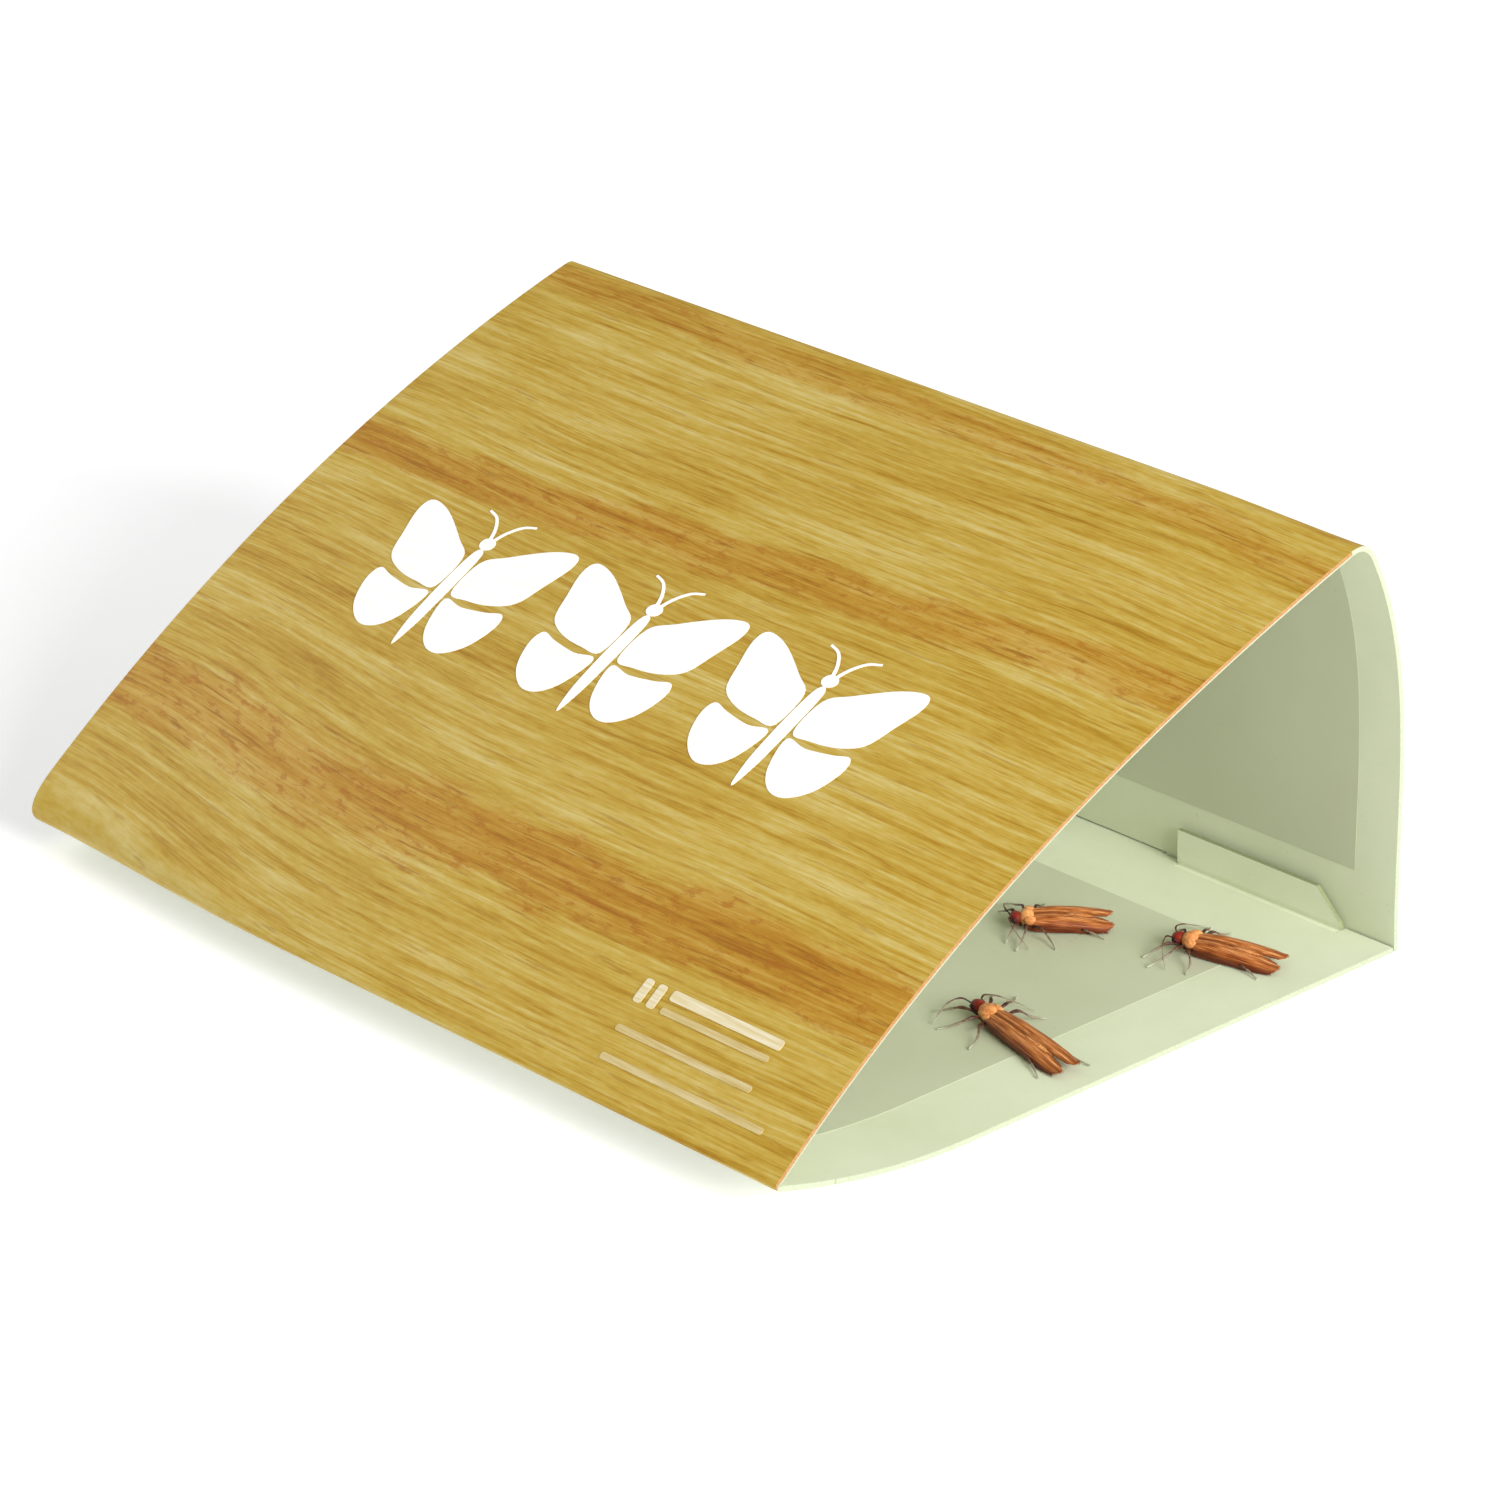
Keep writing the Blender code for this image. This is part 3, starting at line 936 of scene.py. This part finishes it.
def cut_across(bm, normal, places):
    """Cuts every face at the places along an axis."""
    for place in places:
        bmesh.ops.bisect_plane(bm, geom=bm.verts[:] + bm.edges[:] + bm.faces[:],
                               plane_co=Vector(normal) * float(place), plane_no=normal, dist=1e-7)


def build_print(name, outlines, look):
    """Ink laid on the front panel: flat outlines of (x, s) points, cut up finely and bent to the panel."""
    bm = bmesh.new()
    for outline in outlines:
        bm.faces.new([bm.verts.new((x, s, 0.0)) for x, s in outline])
    bmesh.ops.triangulate(bm, faces=bm.faces)
    xs = [v.co.x for v in bm.verts]
    ss = [v.co.y for v in bm.verts]
    cut_across(bm, (0.0, 1.0, 0.0), np.arange(min(ss) + 0.001, max(ss), PRINT_CELL_S))
    cut_across(bm, (1.0, 0.0, 0.0), np.arange(min(xs) + 0.002, max(xs), PRINT_CELL_X))
    bmesh.ops.remove_doubles(bm, verts=bm.verts, dist=1e-6)
    grown = bmesh.ops.extrude_face_region(bm, geom=bm.faces[:])
    top = [v for v in grown["geom"] if isinstance(v, bmesh.types.BMVert)]
    bmesh.ops.translate(bm, verts=top, vec=(0.0, 0.0, INK))
    layer = bm.loops.layers.uv.new("flat")
    for face in bm.faces:
        for loop in face.loops:
            loop[layer].uv = (loop.vert.co.x / UV_UNIT, loop.vert.co.y / UV_UNIT)
    for v in bm.verts:
        v.co = front_spot(v.co.x, v.co.y, v.co.z + INK_GAP)
    bmesh.ops.recalc_face_normals(bm, faces=bm.faces)
    mesh = bpy.data.meshes.new(name)
    bm.to_mesh(mesh)
    bm.free()
    mesh.materials.append(look)
    made = add_object(name, mesh)
    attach(made, "front")


# Steps in each rounded corner, and between the points of each closed curve
CURVE_STEPS = 5


def rounded_box(x0, x1, s0, s1, radius):
    points = []
    for cx, cy, start in ((x1 - radius, s1 - radius, 0), (x0 + radius, s1 - radius, 90),
                          (x0 + radius, s0 + radius, 180), (x1 - radius, s0 + radius, 270)):
        for k in range(CURVE_STEPS + 1):
            angle = math.radians(start + 90.0 * k / CURVE_STEPS)
            points.append((cx + radius * math.cos(angle), cy + radius * math.sin(angle)))
    return points


# A plain moth sign seen from above with its head up, as (across, down) in shares of its width
SIGN_FOREWING = ((0.055, -0.15), (0.16, -0.23), (0.34, -0.34), (0.47, -0.37), (0.50, -0.30),
                 (0.46, -0.16), (0.41, -0.03), (0.30, 0.03), (0.16, 0.05), (0.055, 0.04))
SIGN_HINDWING = ((0.055, 0.08), (0.17, 0.09), (0.31, 0.07), (0.40, 0.05), (0.42, 0.13),
                 (0.37, 0.26), (0.27, 0.34), (0.17, 0.33), (0.09, 0.24))
SIGN_BODY = ((0.0, -0.22), (0.025, -0.19), (0.034, -0.08), (0.034, 0.10), (0.026, 0.26), (0.0, 0.38))
SIGN_FEELER = ((0.008, -0.275), (0.035, -0.34), (0.085, -0.40), (0.15, -0.425))
# Half the feeler's width at its root and tip, and the head's half width, half height and place down
SIGN_FEELER_HALF = (0.009, 0.006)
SIGN_HEAD = (0.042, 0.036, -0.255)

# The signs' places along x, their distance down from the ridge, and their width
SIGNS_X = (-0.0320, -0.0040, 0.0240)
SIGNS_S = 0.0512
SIGN_WIDTH = 0.0262

# What stands in for the small print: a bar and ticks as (x, x, s, s), rules as (s, x, x), their
# sizes, and the radius of their corners
BAR = (0.0368, 0.0535, 0.0850, 0.0863)
TICKS_X = (0.0326, 0.0346)
TICK_WIDTH = 0.0012
TICK_SPAN = (0.0850, 0.0880)
BAR_CORNER = 0.0004
RULES = ((0.0872, 0.0368, 0.0530), (0.0908, 0.0330, 0.0535), (0.0942, 0.0335, 0.0580))
RULE_THICK = 0.0008
RULE_CORNER = 0.0003


def closed_curve(points):
    """A smooth closed outline through the points."""
    count = len(points)
    whole = [(x, y, 0.0) for x, y in points]
    path = smooth_path([whole[i % count] for i in range(-1, count + 2)], CURVE_STEPS)
    return [(p.x, p.y) for p in path[CURVE_STEPS:-CURVE_STEPS - 1]]


def ribbon(points, root, tip):
    """The outline of a strip along the points that narrows from root to tip."""
    path = smooth_path([(x, y, 0.0) for x, y in points], 4)
    sides = ([], [])
    for k, point in enumerate(path):
        along = (path[min(k + 1, len(path) - 1)] - path[max(k - 1, 0)]).normalized()
        half = root + (tip - root) * k / (len(path) - 1)
        sides[0].append((point.x - along.y * half, point.y + along.x * half))
        sides[1].append((point.x + along.y * half, point.y - along.x * half))
    return sides[0] + sides[1][::-1]


def moth_sign(x, s, width):
    """The outlines of a plain moth pictogram whose head points towards the ridge."""
    half_width, half_height, down = SIGN_HEAD
    turns = [k * math.pi / 10 for k in range(20)]
    body = SIGN_BODY + tuple((-a, b) for a, b in SIGN_BODY[-2:0:-1])
    head = [(half_width * math.cos(turn), down + half_height * math.sin(turn)) for turn in turns]
    shapes = [closed_curve(body), head]
    feeler = ribbon(SIGN_FEELER, *SIGN_FEELER_HALF)
    for outline in (closed_curve(SIGN_FOREWING), closed_curve(SIGN_HINDWING), feeler):
        shapes.append(outline)
        shapes.append([(-a, b) for a, b in reversed(outline)])
    return [[(x + a * width, s + b * width) for a, b in shape] for shape in shapes]


def build_prints(looks):
    signs = []
    for x in SIGNS_X:
        signs += moth_sign(x, SIGNS_S, SIGN_WIDTH)
    build_print("moth_signs", signs, looks["ink"])
    bar = [rounded_box(*BAR, BAR_CORNER)]
    ticks = [rounded_box(x, x + TICK_WIDTH, *TICK_SPAN, BAR_CORNER) for x in TICKS_X]
    build_print("small_bar", bar + ticks, looks["small_ink"])
    rules = [rounded_box(x0, x1, s, s + RULE_THICK, RULE_CORNER) for s, x0, x1 in RULES]
    build_print("small_rules", rules, looks["faint"])


# ---------------------------------------------------------------- moths


# Where each caught moth's head and tail lie, as (x, y), and how stout it is for its length
MOTH_PLACES = {
    "moth_rear": ((0.0306, 0.0200), (0.0382, 0.0285), 1.15),
    "moth_side": ((0.0466, 0.0296), (0.0591, 0.0338), 1.00),
    "moth_front": ((0.0431, 0.0019), (0.0608, -0.0018), 0.68),
}
# A caught moth rests a little askew: raised, and rolled about its own length
MOTH_LEAN = Matrix.Translation((0.0, 0.0, 0.022)) @ Matrix.Rotation(math.radians(11.0), 4, "X")

# Everything about a moth's shape is in shares of its length, as (along, across, up). A wing's tables
# give its height over the back, its rim and its seam from root to tip.
WING_TOP = ((0.00, 0.110), (0.10, 0.134), (0.30, 0.140), (0.60, 0.120), (0.85, 0.088), (1.00, 0.066))
WING_RIM = ((0.00, 0.080), (0.12, 0.116), (0.35, 0.140), (0.65, 0.152), (0.85, 0.152), (1.00, 0.138))
WING_SEAM = ((0.00, -0.006), (0.20, -0.006), (0.60, -0.002), (0.76, 0.002), (0.88, 0.012), (1.00, 0.030))
WING_START = 0.165
WING_LENGTH = 0.835
WING_FOOT = 0.018
WING_OVERLAP = 0.004
WING_THIN = 0.008
WING_CELLS = (34, 14)

HAIR_LENGTHS = (0.014, 0.030)
HAIR_DRIFT = 0.006
HAIR_ROOT = 0.012
HAIR_RADII = (0.0036, 0.0026, 0.0006)
HAIR_SIDES = 4

# The body's blobs: centre, radii, and for the lumpy ones how lumpy and where the lumps start
BLOB_ROWS = 10
BLOB_SIDES = 16
HEAD_BLOBS = (
    ((0.058, 0.0, 0.085), (0.066, 0.064, 0.058), 0.03),
    ((0.012, 0.0, 0.060), (0.026, 0.022, 0.024)),
)
THORAX_BLOBS = (
    ((0.165, 0.0, 0.088), (0.078, 0.082, 0.080), 0.03, 1.0),
    ((0.190, 0.072, 0.105), (0.062, 0.034, 0.044)),
    ((0.190, -0.072, 0.105), (0.062, 0.034, 0.044)),
    ((0.50, 0.0, 0.068), (0.34, 0.085, 0.055)),
)

# Legs and feelers as points along them, and their radii at root and tip
LEGS = (
    ((0.10, 0.05, 0.06), (0.04, 0.15, 0.10), (-0.02, 0.22, 0.06), (-0.08, 0.32, 0.010)),
    ((0.15, 0.06, 0.05), (0.16, 0.20, 0.11), (0.12, 0.34, 0.06), (0.05, 0.48, 0.010)),
    ((0.20, 0.07, 0.04), (0.26, 0.22, 0.10), (0.33, 0.32, 0.05), (0.37, 0.46, 0.010)),
    ((0.62, 0.08, 0.02), (0.72, 0.16, 0.05), (0.82, 0.20, 0.03), (0.93, 0.26, 0.010)),
)
FEELER = ((0.02, 0.03, 0.10), (-0.03, 0.10, 0.14), (-0.02, 0.22, 0.12),
          (0.03, 0.34, 0.07), (0.10, 0.46, 0.020))
LEG_RADII = (0.0175, 0.0065)
FEELER_RADII = (0.0085, 0.0045)
LIMB_SIDES = 6
LIMB_STEPS = 6
LIMB_BEND = 0.2


def along_table(table, t):
    return float(np.interp(t, [a for a, _ in table], [b for _, b in table]))


def wing_point(u, v, side):
    """A place on a folded wing: u runs to the tip, v from the seam over the back to the rim."""
    seam = along_table(WING_SEAM, u)
    rim = along_table(WING_RIM, u)
    top = along_table(WING_TOP, u)
    angle = v * math.pi / 2
    z = WING_FOOT + (top - WING_FOOT) * math.cos(angle) ** 0.50 if v < 1.0 else WING_FOOT
    share = math.sin(angle) ** 0.62
    rounding = 0.068 * (1.0 - math.sqrt(1.0 - 0.96 * (2.0 * share - 1.0) ** 2))
    x = WING_START + WING_LENGTH * u - rounding * u ** 8 - 0.02 * v * (1 - u)
    fold = -0.010 * math.exp(-(v / 0.09) ** 2) * (1.0 - u * 0.5)
    vein = 0.0028 * math.cos(v * 23.0 + u * 3.0) * math.sin(math.pi * min(u * 1.1, 1.0))
    y = seam + (rim - seam) * share
    return Vector((x, side * y, z + vein + fold + (WING_OVERLAP if side > 0 else 0.0)))


def wing(side):
    """One wing as a thin closed shell, with the flat place of each vertex."""
    nu, nv = WING_CELLS
    verts = []
    uvs = []
    for layer in (0, 1):
        for a in range(nu):
            for b in range(nv):
                u = a / (nu - 1)
                v = b / (nv - 1)
                point = wing_point(u, v, side)
                inward = Vector((0.0, -side * math.sin(v * 1.5), -math.cos(v * 1.5)))
                verts.append(point + inward * WING_THIN * layer)
                uvs.append((u, v))
    faces = []
    half = nu * nv
    for a in range(nu - 1):
        for b in range(nv - 1):
            ring = (a * nv + b, (a + 1) * nv + b, (a + 1) * nv + b + 1, a * nv + b + 1)
            faces.append(ring)
            faces.append(tuple(half + k for k in reversed(ring)))
    rim = [a * nv for a in range(nu)]
    rim += [(nu - 1) * nv + b for b in range(1, nv)]
    rim += [a * nv + nv - 1 for a in reversed(range(nu - 1))]
    rim += [b for b in reversed(range(1, nv - 1))]
    for k, p in enumerate(rim):
        q = rim[(k + 1) % len(rim)]
        faces.append((p, q, q + half, p + half))
    return verts, faces, uvs


def fringe(side, rng):
    """Hair scales along a wing's tip and the rear of its rim and seam."""
    spots = [(1.0, v) for v in np.linspace(0.0, 1.0, 16)]
    spots += [(u, 1.0) for u in np.linspace(0.62, 0.98, 16)]
    spots += [(u, 0.0) for u in np.linspace(0.84, 0.98, 6)]
    hairs = []
    for u, v in spots:
        root = wing_point(u, v, side)
        out = Vector((0.9 if u > 0.99 else 0.75, side * 0.5 if v > 0.99 else 0.0, -0.1)).normalized()
        reach = rng.uniform(*HAIR_LENGTHS)
        drift = rng.uniform(-HAIR_DRIFT, HAIR_DRIFT)
        tip = root + out * reach + Vector((0.0, drift, 0.0))
        verts, faces = tube([root - out * HAIR_ROOT, (root + tip) / 2, tip], HAIR_RADII, HAIR_SIDES)
        hairs.append((verts, faces, [(min(u, 0.98), v)] * len(verts)))
    return join(hairs)


def blob(centre, radii, lump=0.0, seed=0.0):
    """An egg shape, with lumps of up to a share of its radii."""
    centre = Vector(centre)
    end = Vector((radii[0], 0, 0))
    verts = [centre - end]
    for a in range(1, BLOB_ROWS):
        turn = math.pi * a / BLOB_ROWS
        for b in range(BLOB_SIDES):
            angle = 2 * math.pi * b / BLOB_SIDES
            swell = 1.0 + lump * math.sin(5 * angle + seed) * math.sin(3 * turn + seed)
            verts.append(centre + Vector((-radii[0] * math.cos(turn),
                                          radii[1] * math.sin(turn) * math.cos(angle) * swell,
                                          radii[2] * math.sin(turn) * math.sin(angle) * swell)))
    verts.append(centre + end)
    faces = []
    last = 1 + (BLOB_ROWS - 2) * BLOB_SIDES
    for b in range(BLOB_SIDES):
        m = (b + 1) % BLOB_SIDES
        faces.append((0, 1 + b, 1 + m))
        faces.append((len(verts) - 1, last + m, last + b))
        for a in range(BLOB_ROWS - 2):
            p = 1 + a * BLOB_SIDES
            faces.append((p + b, p + BLOB_SIDES + b, p + BLOB_SIDES + m, p + m))
    return verts, faces


def join(parts):
    """Joins (verts, faces) parts, or (verts, faces, uvs) parts, into one."""
    verts = []
    faces = []
    uvs = []
    for part in parts:
        base = len(verts)
        verts += part[0]
        faces += [tuple(base + k for k in f) for f in part[1]]
        if len(part) > 2:
            uvs += part[2]
    return verts, faces, uvs


def limb(points, radii, side, bend):
    """A jointed limb, thick at its root and knees, with the share along it as its flat place."""
    thick, thin = radii
    path = smooth_path([(x + bend * y, side * y, z) for x, y, z in points], LIMB_STEPS)
    last = len(path) - 1
    sizes = []
    for k in range(len(path)):
        knee = 1.0 + 0.22 * math.cos(2.0 * math.pi * k / LIMB_STEPS)
        sizes.append((thick + (thin - thick) * (k / last) ** 0.7) * knee)
    verts, faces = tube(path, sizes, LIMB_SIDES)
    return verts, faces, [(k // LIMB_SIDES / last, 0.5) for k in range(len(verts))]


def leaned(shape):
    verts, faces, uvs = shape
    return [MOTH_LEAN @ v for v in verts], faces, uvs


def eye(side):
    verts, faces = blob((0.038, side * 0.056, 0.088), (0.026, 0.016, 0.028))
    return leaned((verts, faces, [(0.0, 0.5)] * len(verts)))


def limbs(rng):
    """Eyes, legs and feelers, both sides, each limb bent a little differently."""
    made = [eye(1), eye(-1)]
    for side in (1, -1):
        for points in LEGS:
            made.append(limb(points, LEG_RADII, side, rng.uniform(-LIMB_BEND, LIMB_BEND)))
        made.append(limb(FEELER, FEELER_RADII, side, rng.uniform(-LIMB_BEND, LIMB_BEND)))
    return join(made)


def moth_place(node):
    """Takes a shape in shares of the moth's length to where the moth lies on the glue."""
    head, tail, girth = MOTH_PLACES[node]
    start = Vector((*head, GLUE_TOP))
    along = Vector((*tail, GLUE_TOP)) - start
    turn = Matrix.Rotation(math.atan2(along.y, along.x), 4, "Z")
    wide = along.length * girth
    return Matrix.Translation(start) @ turn @ Matrix.Diagonal((along.length, wide, wide, 1.0))


def build_moth(looks, node, seed):
    """A caught moth where its CAD stand-in lies: wings folded, legs and feelers spread on the glue."""
    place = moth_place(node)
    rng = np.random.default_rng(seed)
    wings = leaned(join([wing(1), wing(-1), fringe(1, rng), fringe(-1, rng)]))
    head = leaned(join([blob(*each) for each in HEAD_BLOBS]))
    thorax = leaned(join([blob(*each) for each in THORAX_BLOBS]))
    for part, shape, look in (("wings", wings, "wing"), ("head", head, "red"),
                              ("thorax", thorax, "tan"), ("legs", limbs(rng), "limb")):
        verts, faces, uvs = shape
        piece = add_mesh(node + "_" + part, [place @ v for v in verts], faces, [0] * len(faces),
                         [looks[look]], uvs or None)
        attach(piece, "floor")
        if part == "wings":
            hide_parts(node)


# The lure's outline from under its middle, round its raised rim, to the middle of its dished top, as
# shares of its radius and height
LURE_PROFILE = ((0.0, 0.0), (0.94, 0.0), (1.0, 0.12), (1.0, 0.78), (0.965, 0.94),
                (0.90, 1.0), (0.80, 0.97), (0.72, 0.80), (0.60, 0.70), (0.0, 0.66))
LURE_SIDES = 64


def build_lure(looks):
    """A round rubber pad with a raised rim and a dished middle."""
    low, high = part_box("pheromone_lure")
    centre = (low + high) / 2
    radius = (high.x - low.x) / 2
    height = high.z - GLUE_TOP
    verts = [Vector((centre.x, centre.y, GLUE_TOP))]
    for r, z in LURE_PROFILE[1:-1]:
        for k in range(LURE_SIDES):
            angle = 2 * math.pi * k / LURE_SIDES
            verts.append(Vector((centre.x + radius * r * math.cos(angle),
                                 centre.y + radius * r * math.sin(angle),
                                 GLUE_TOP + height * z)))
    verts.append(Vector((centre.x, centre.y, GLUE_TOP + height * LURE_PROFILE[-1][1])))
    faces = []
    rings = len(LURE_PROFILE) - 2
    last = 1 + (rings - 1) * LURE_SIDES
    for k in range(LURE_SIDES):
        m = (k + 1) % LURE_SIDES
        faces.append((0, 1 + m, 1 + k))
        faces.append((len(verts) - 1, last + k, last + m))
        for ring in range(rings - 1):
            p = 1 + ring * LURE_SIDES
            faces.append((p + k, p + m, p + LURE_SIDES + m, p + LURE_SIDES + k))
    lure = add_mesh("lure_pad", verts, faces, [0] * len(faces), [looks["rubber"]])
    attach(lure, "floor")
    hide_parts("pheromone_lure")


# ---------------------------------------------------------------- camera and light


CAMERA_AZIMUTH = math.radians(46.63)
CAMERA_ELEVATION = math.radians(23.6)
CAMERA_ROLL = math.radians(0.12)
CAMERA_DISTANCE = 0.6973
CAMERA_RIGHT = 0.00661
CAMERA_UP = 0.01711
LENS = 148.2

# Round lights: name, place, what it points at, size and power
LIGHTS = (
    ("side", (0.83, -0.06, 0.36), (0.02, 0.0, 0.015), 0.5, 10.5),
    ("rear", (-0.60, -0.03, 0.22), (0.0, 0.02, 0.02), 0.35, 1.3),
)
WORLD_STRENGTH = 0.46

# The stage floor: how far it reaches each way, and how far it lies under the trap
STAGE_REACH = 6.0
STAGE_DROP = 0.0002


def build_camera():
    az = CAMERA_AZIMUTH
    el = CAMERA_ELEVATION
    roll = CAMERA_ROLL
    ahead = Vector((-math.sin(az) * math.cos(el), math.cos(az) * math.cos(el), -math.sin(el)))
    right = Vector((math.cos(az), math.sin(az), 0.0))
    up = right.cross(ahead)
    turned_right = right * math.cos(roll) - up * math.sin(roll)
    turned_up = up * math.cos(roll) + right * math.sin(roll)
    data = bpy.data.cameras.new("camera")
    data.lens = LENS
    data.sensor_width = 36.0
    data.clip_start = 0.01
    data.clip_end = 20.0
    camera = add_object("camera", data)
    camera.location = -ahead * CAMERA_DISTANCE + right * CAMERA_RIGHT + up * CAMERA_UP
    camera.rotation_euler = Matrix((turned_right, turned_up, -ahead)).transposed().to_euler()
    bpy.context.scene.camera = camera


def area_light(name, place, target, size, power):
    data = bpy.data.lights.new(name, "AREA")
    data.shape = "DISK"
    data.size = size
    data.energy = power
    lamp = add_object(name, data)
    lamp.location = place
    lamp.rotation_euler = (Vector(target) - Vector(place)).to_track_quat("-Z", "Y").to_euler()


def build_studio(looks):
    scene = bpy.context.scene
    scene.view_settings.view_transform = "Standard"
    scene.world = bpy.data.worlds.new("studio")
    scene.world.use_nodes = True
    background = scene.world.node_tree.nodes["Background"]
    background.inputs["Color"].default_value = WHITE
    background.inputs["Strength"].default_value = WORLD_STRENGTH
    for light in LIGHTS:
        area_light(*light)
    corners = [(x * STAGE_REACH, y * STAGE_REACH, 0) for x, y in ((-1, -1), (1, -1), (1, 1), (-1, 1))]
    mesh = bpy.data.meshes.new("stage_floor")
    mesh.from_pydata(corners, [], [(0, 1, 2, 3)])
    mesh.materials.append(looks["stage"])
    floor = add_object("stage_floor", mesh)
    floor.location.z = -STAGE_DROP


def build_looks():
    return {
        "wood": wood_print("wood_print"),
        "pale": pale_card("pale_card", (221, 226, 200), (214, 220, 191)),
        # The tabs' card is the pale card painted lighter, which is painted light: it brightens the tabs
        # that stand deep inside the trap
        "pale_tab_painted_light": pale_card("pale_tab_painted_light_card", (233, 238, 214), (226, 232, 204)),
        "under": pale_card("pale_card_outside", (219, 222, 202), (211, 216, 191)),
        "pale_edge": cut_edge("pale_cut_edge", (182, 188, 162), (168, 175, 147)),
        # The tabs' cut edges are the cut edge painted darker, which is painted shade: a shadow line along
        # each tab's top and slanted end
        "tab_edge_painted_shade": cut_edge("tab_cut_edge_painted_shade", (152, 160, 122), (134, 143, 104)),
        "tan_edge": cut_edge("tan_cut_edge", (176, 136, 94), (158, 112, 66)),
        "glue": glue_film("glue_film", (205, 209, 183), (197, 201, 173)),
        # The glue on the back panel is the same glue painted darker, which is painted shade: the back
        # panel's inside lies in shade
        "back_glue": glue_film("back_glue_film", (198, 202, 176), (191, 195, 168)),
        "ink": white_ink_painted_glow("white_ink_painted_glow"),
        "small_ink": faint_ink("small_print_ink", (240, 230, 200), (220, 202, 148)),
        "faint": faint_ink("faint_ink", (218, 200, 148), (198, 172, 100)),
        "wing": moth_wing("moth_wing"),
        "red": moth_body("moth_head_down", (150, 40, 14), (84, 12, 6)),
        "tan": moth_body("moth_thorax_down", (238, 170, 104), (186, 104, 48)),
        "limb": moth_limb("moth_limb"),
        "rubber": rubber("lure_rubber"),
        "stage": stage_paper("stage_paper"),
    }


def main():
    looks = build_looks()
    build_camera()
    build_studio(looks)
    build_card(looks)
    build_tongue(looks)
    build_tab(looks, "near", 1)
    build_tab(looks, "far", -1)
    build_glue(looks)
    build_prints(looks)
    for seed, node in enumerate(MOTH_PLACES):
        build_moth(looks, node, seed + 11)
    build_lure(looks)


main()
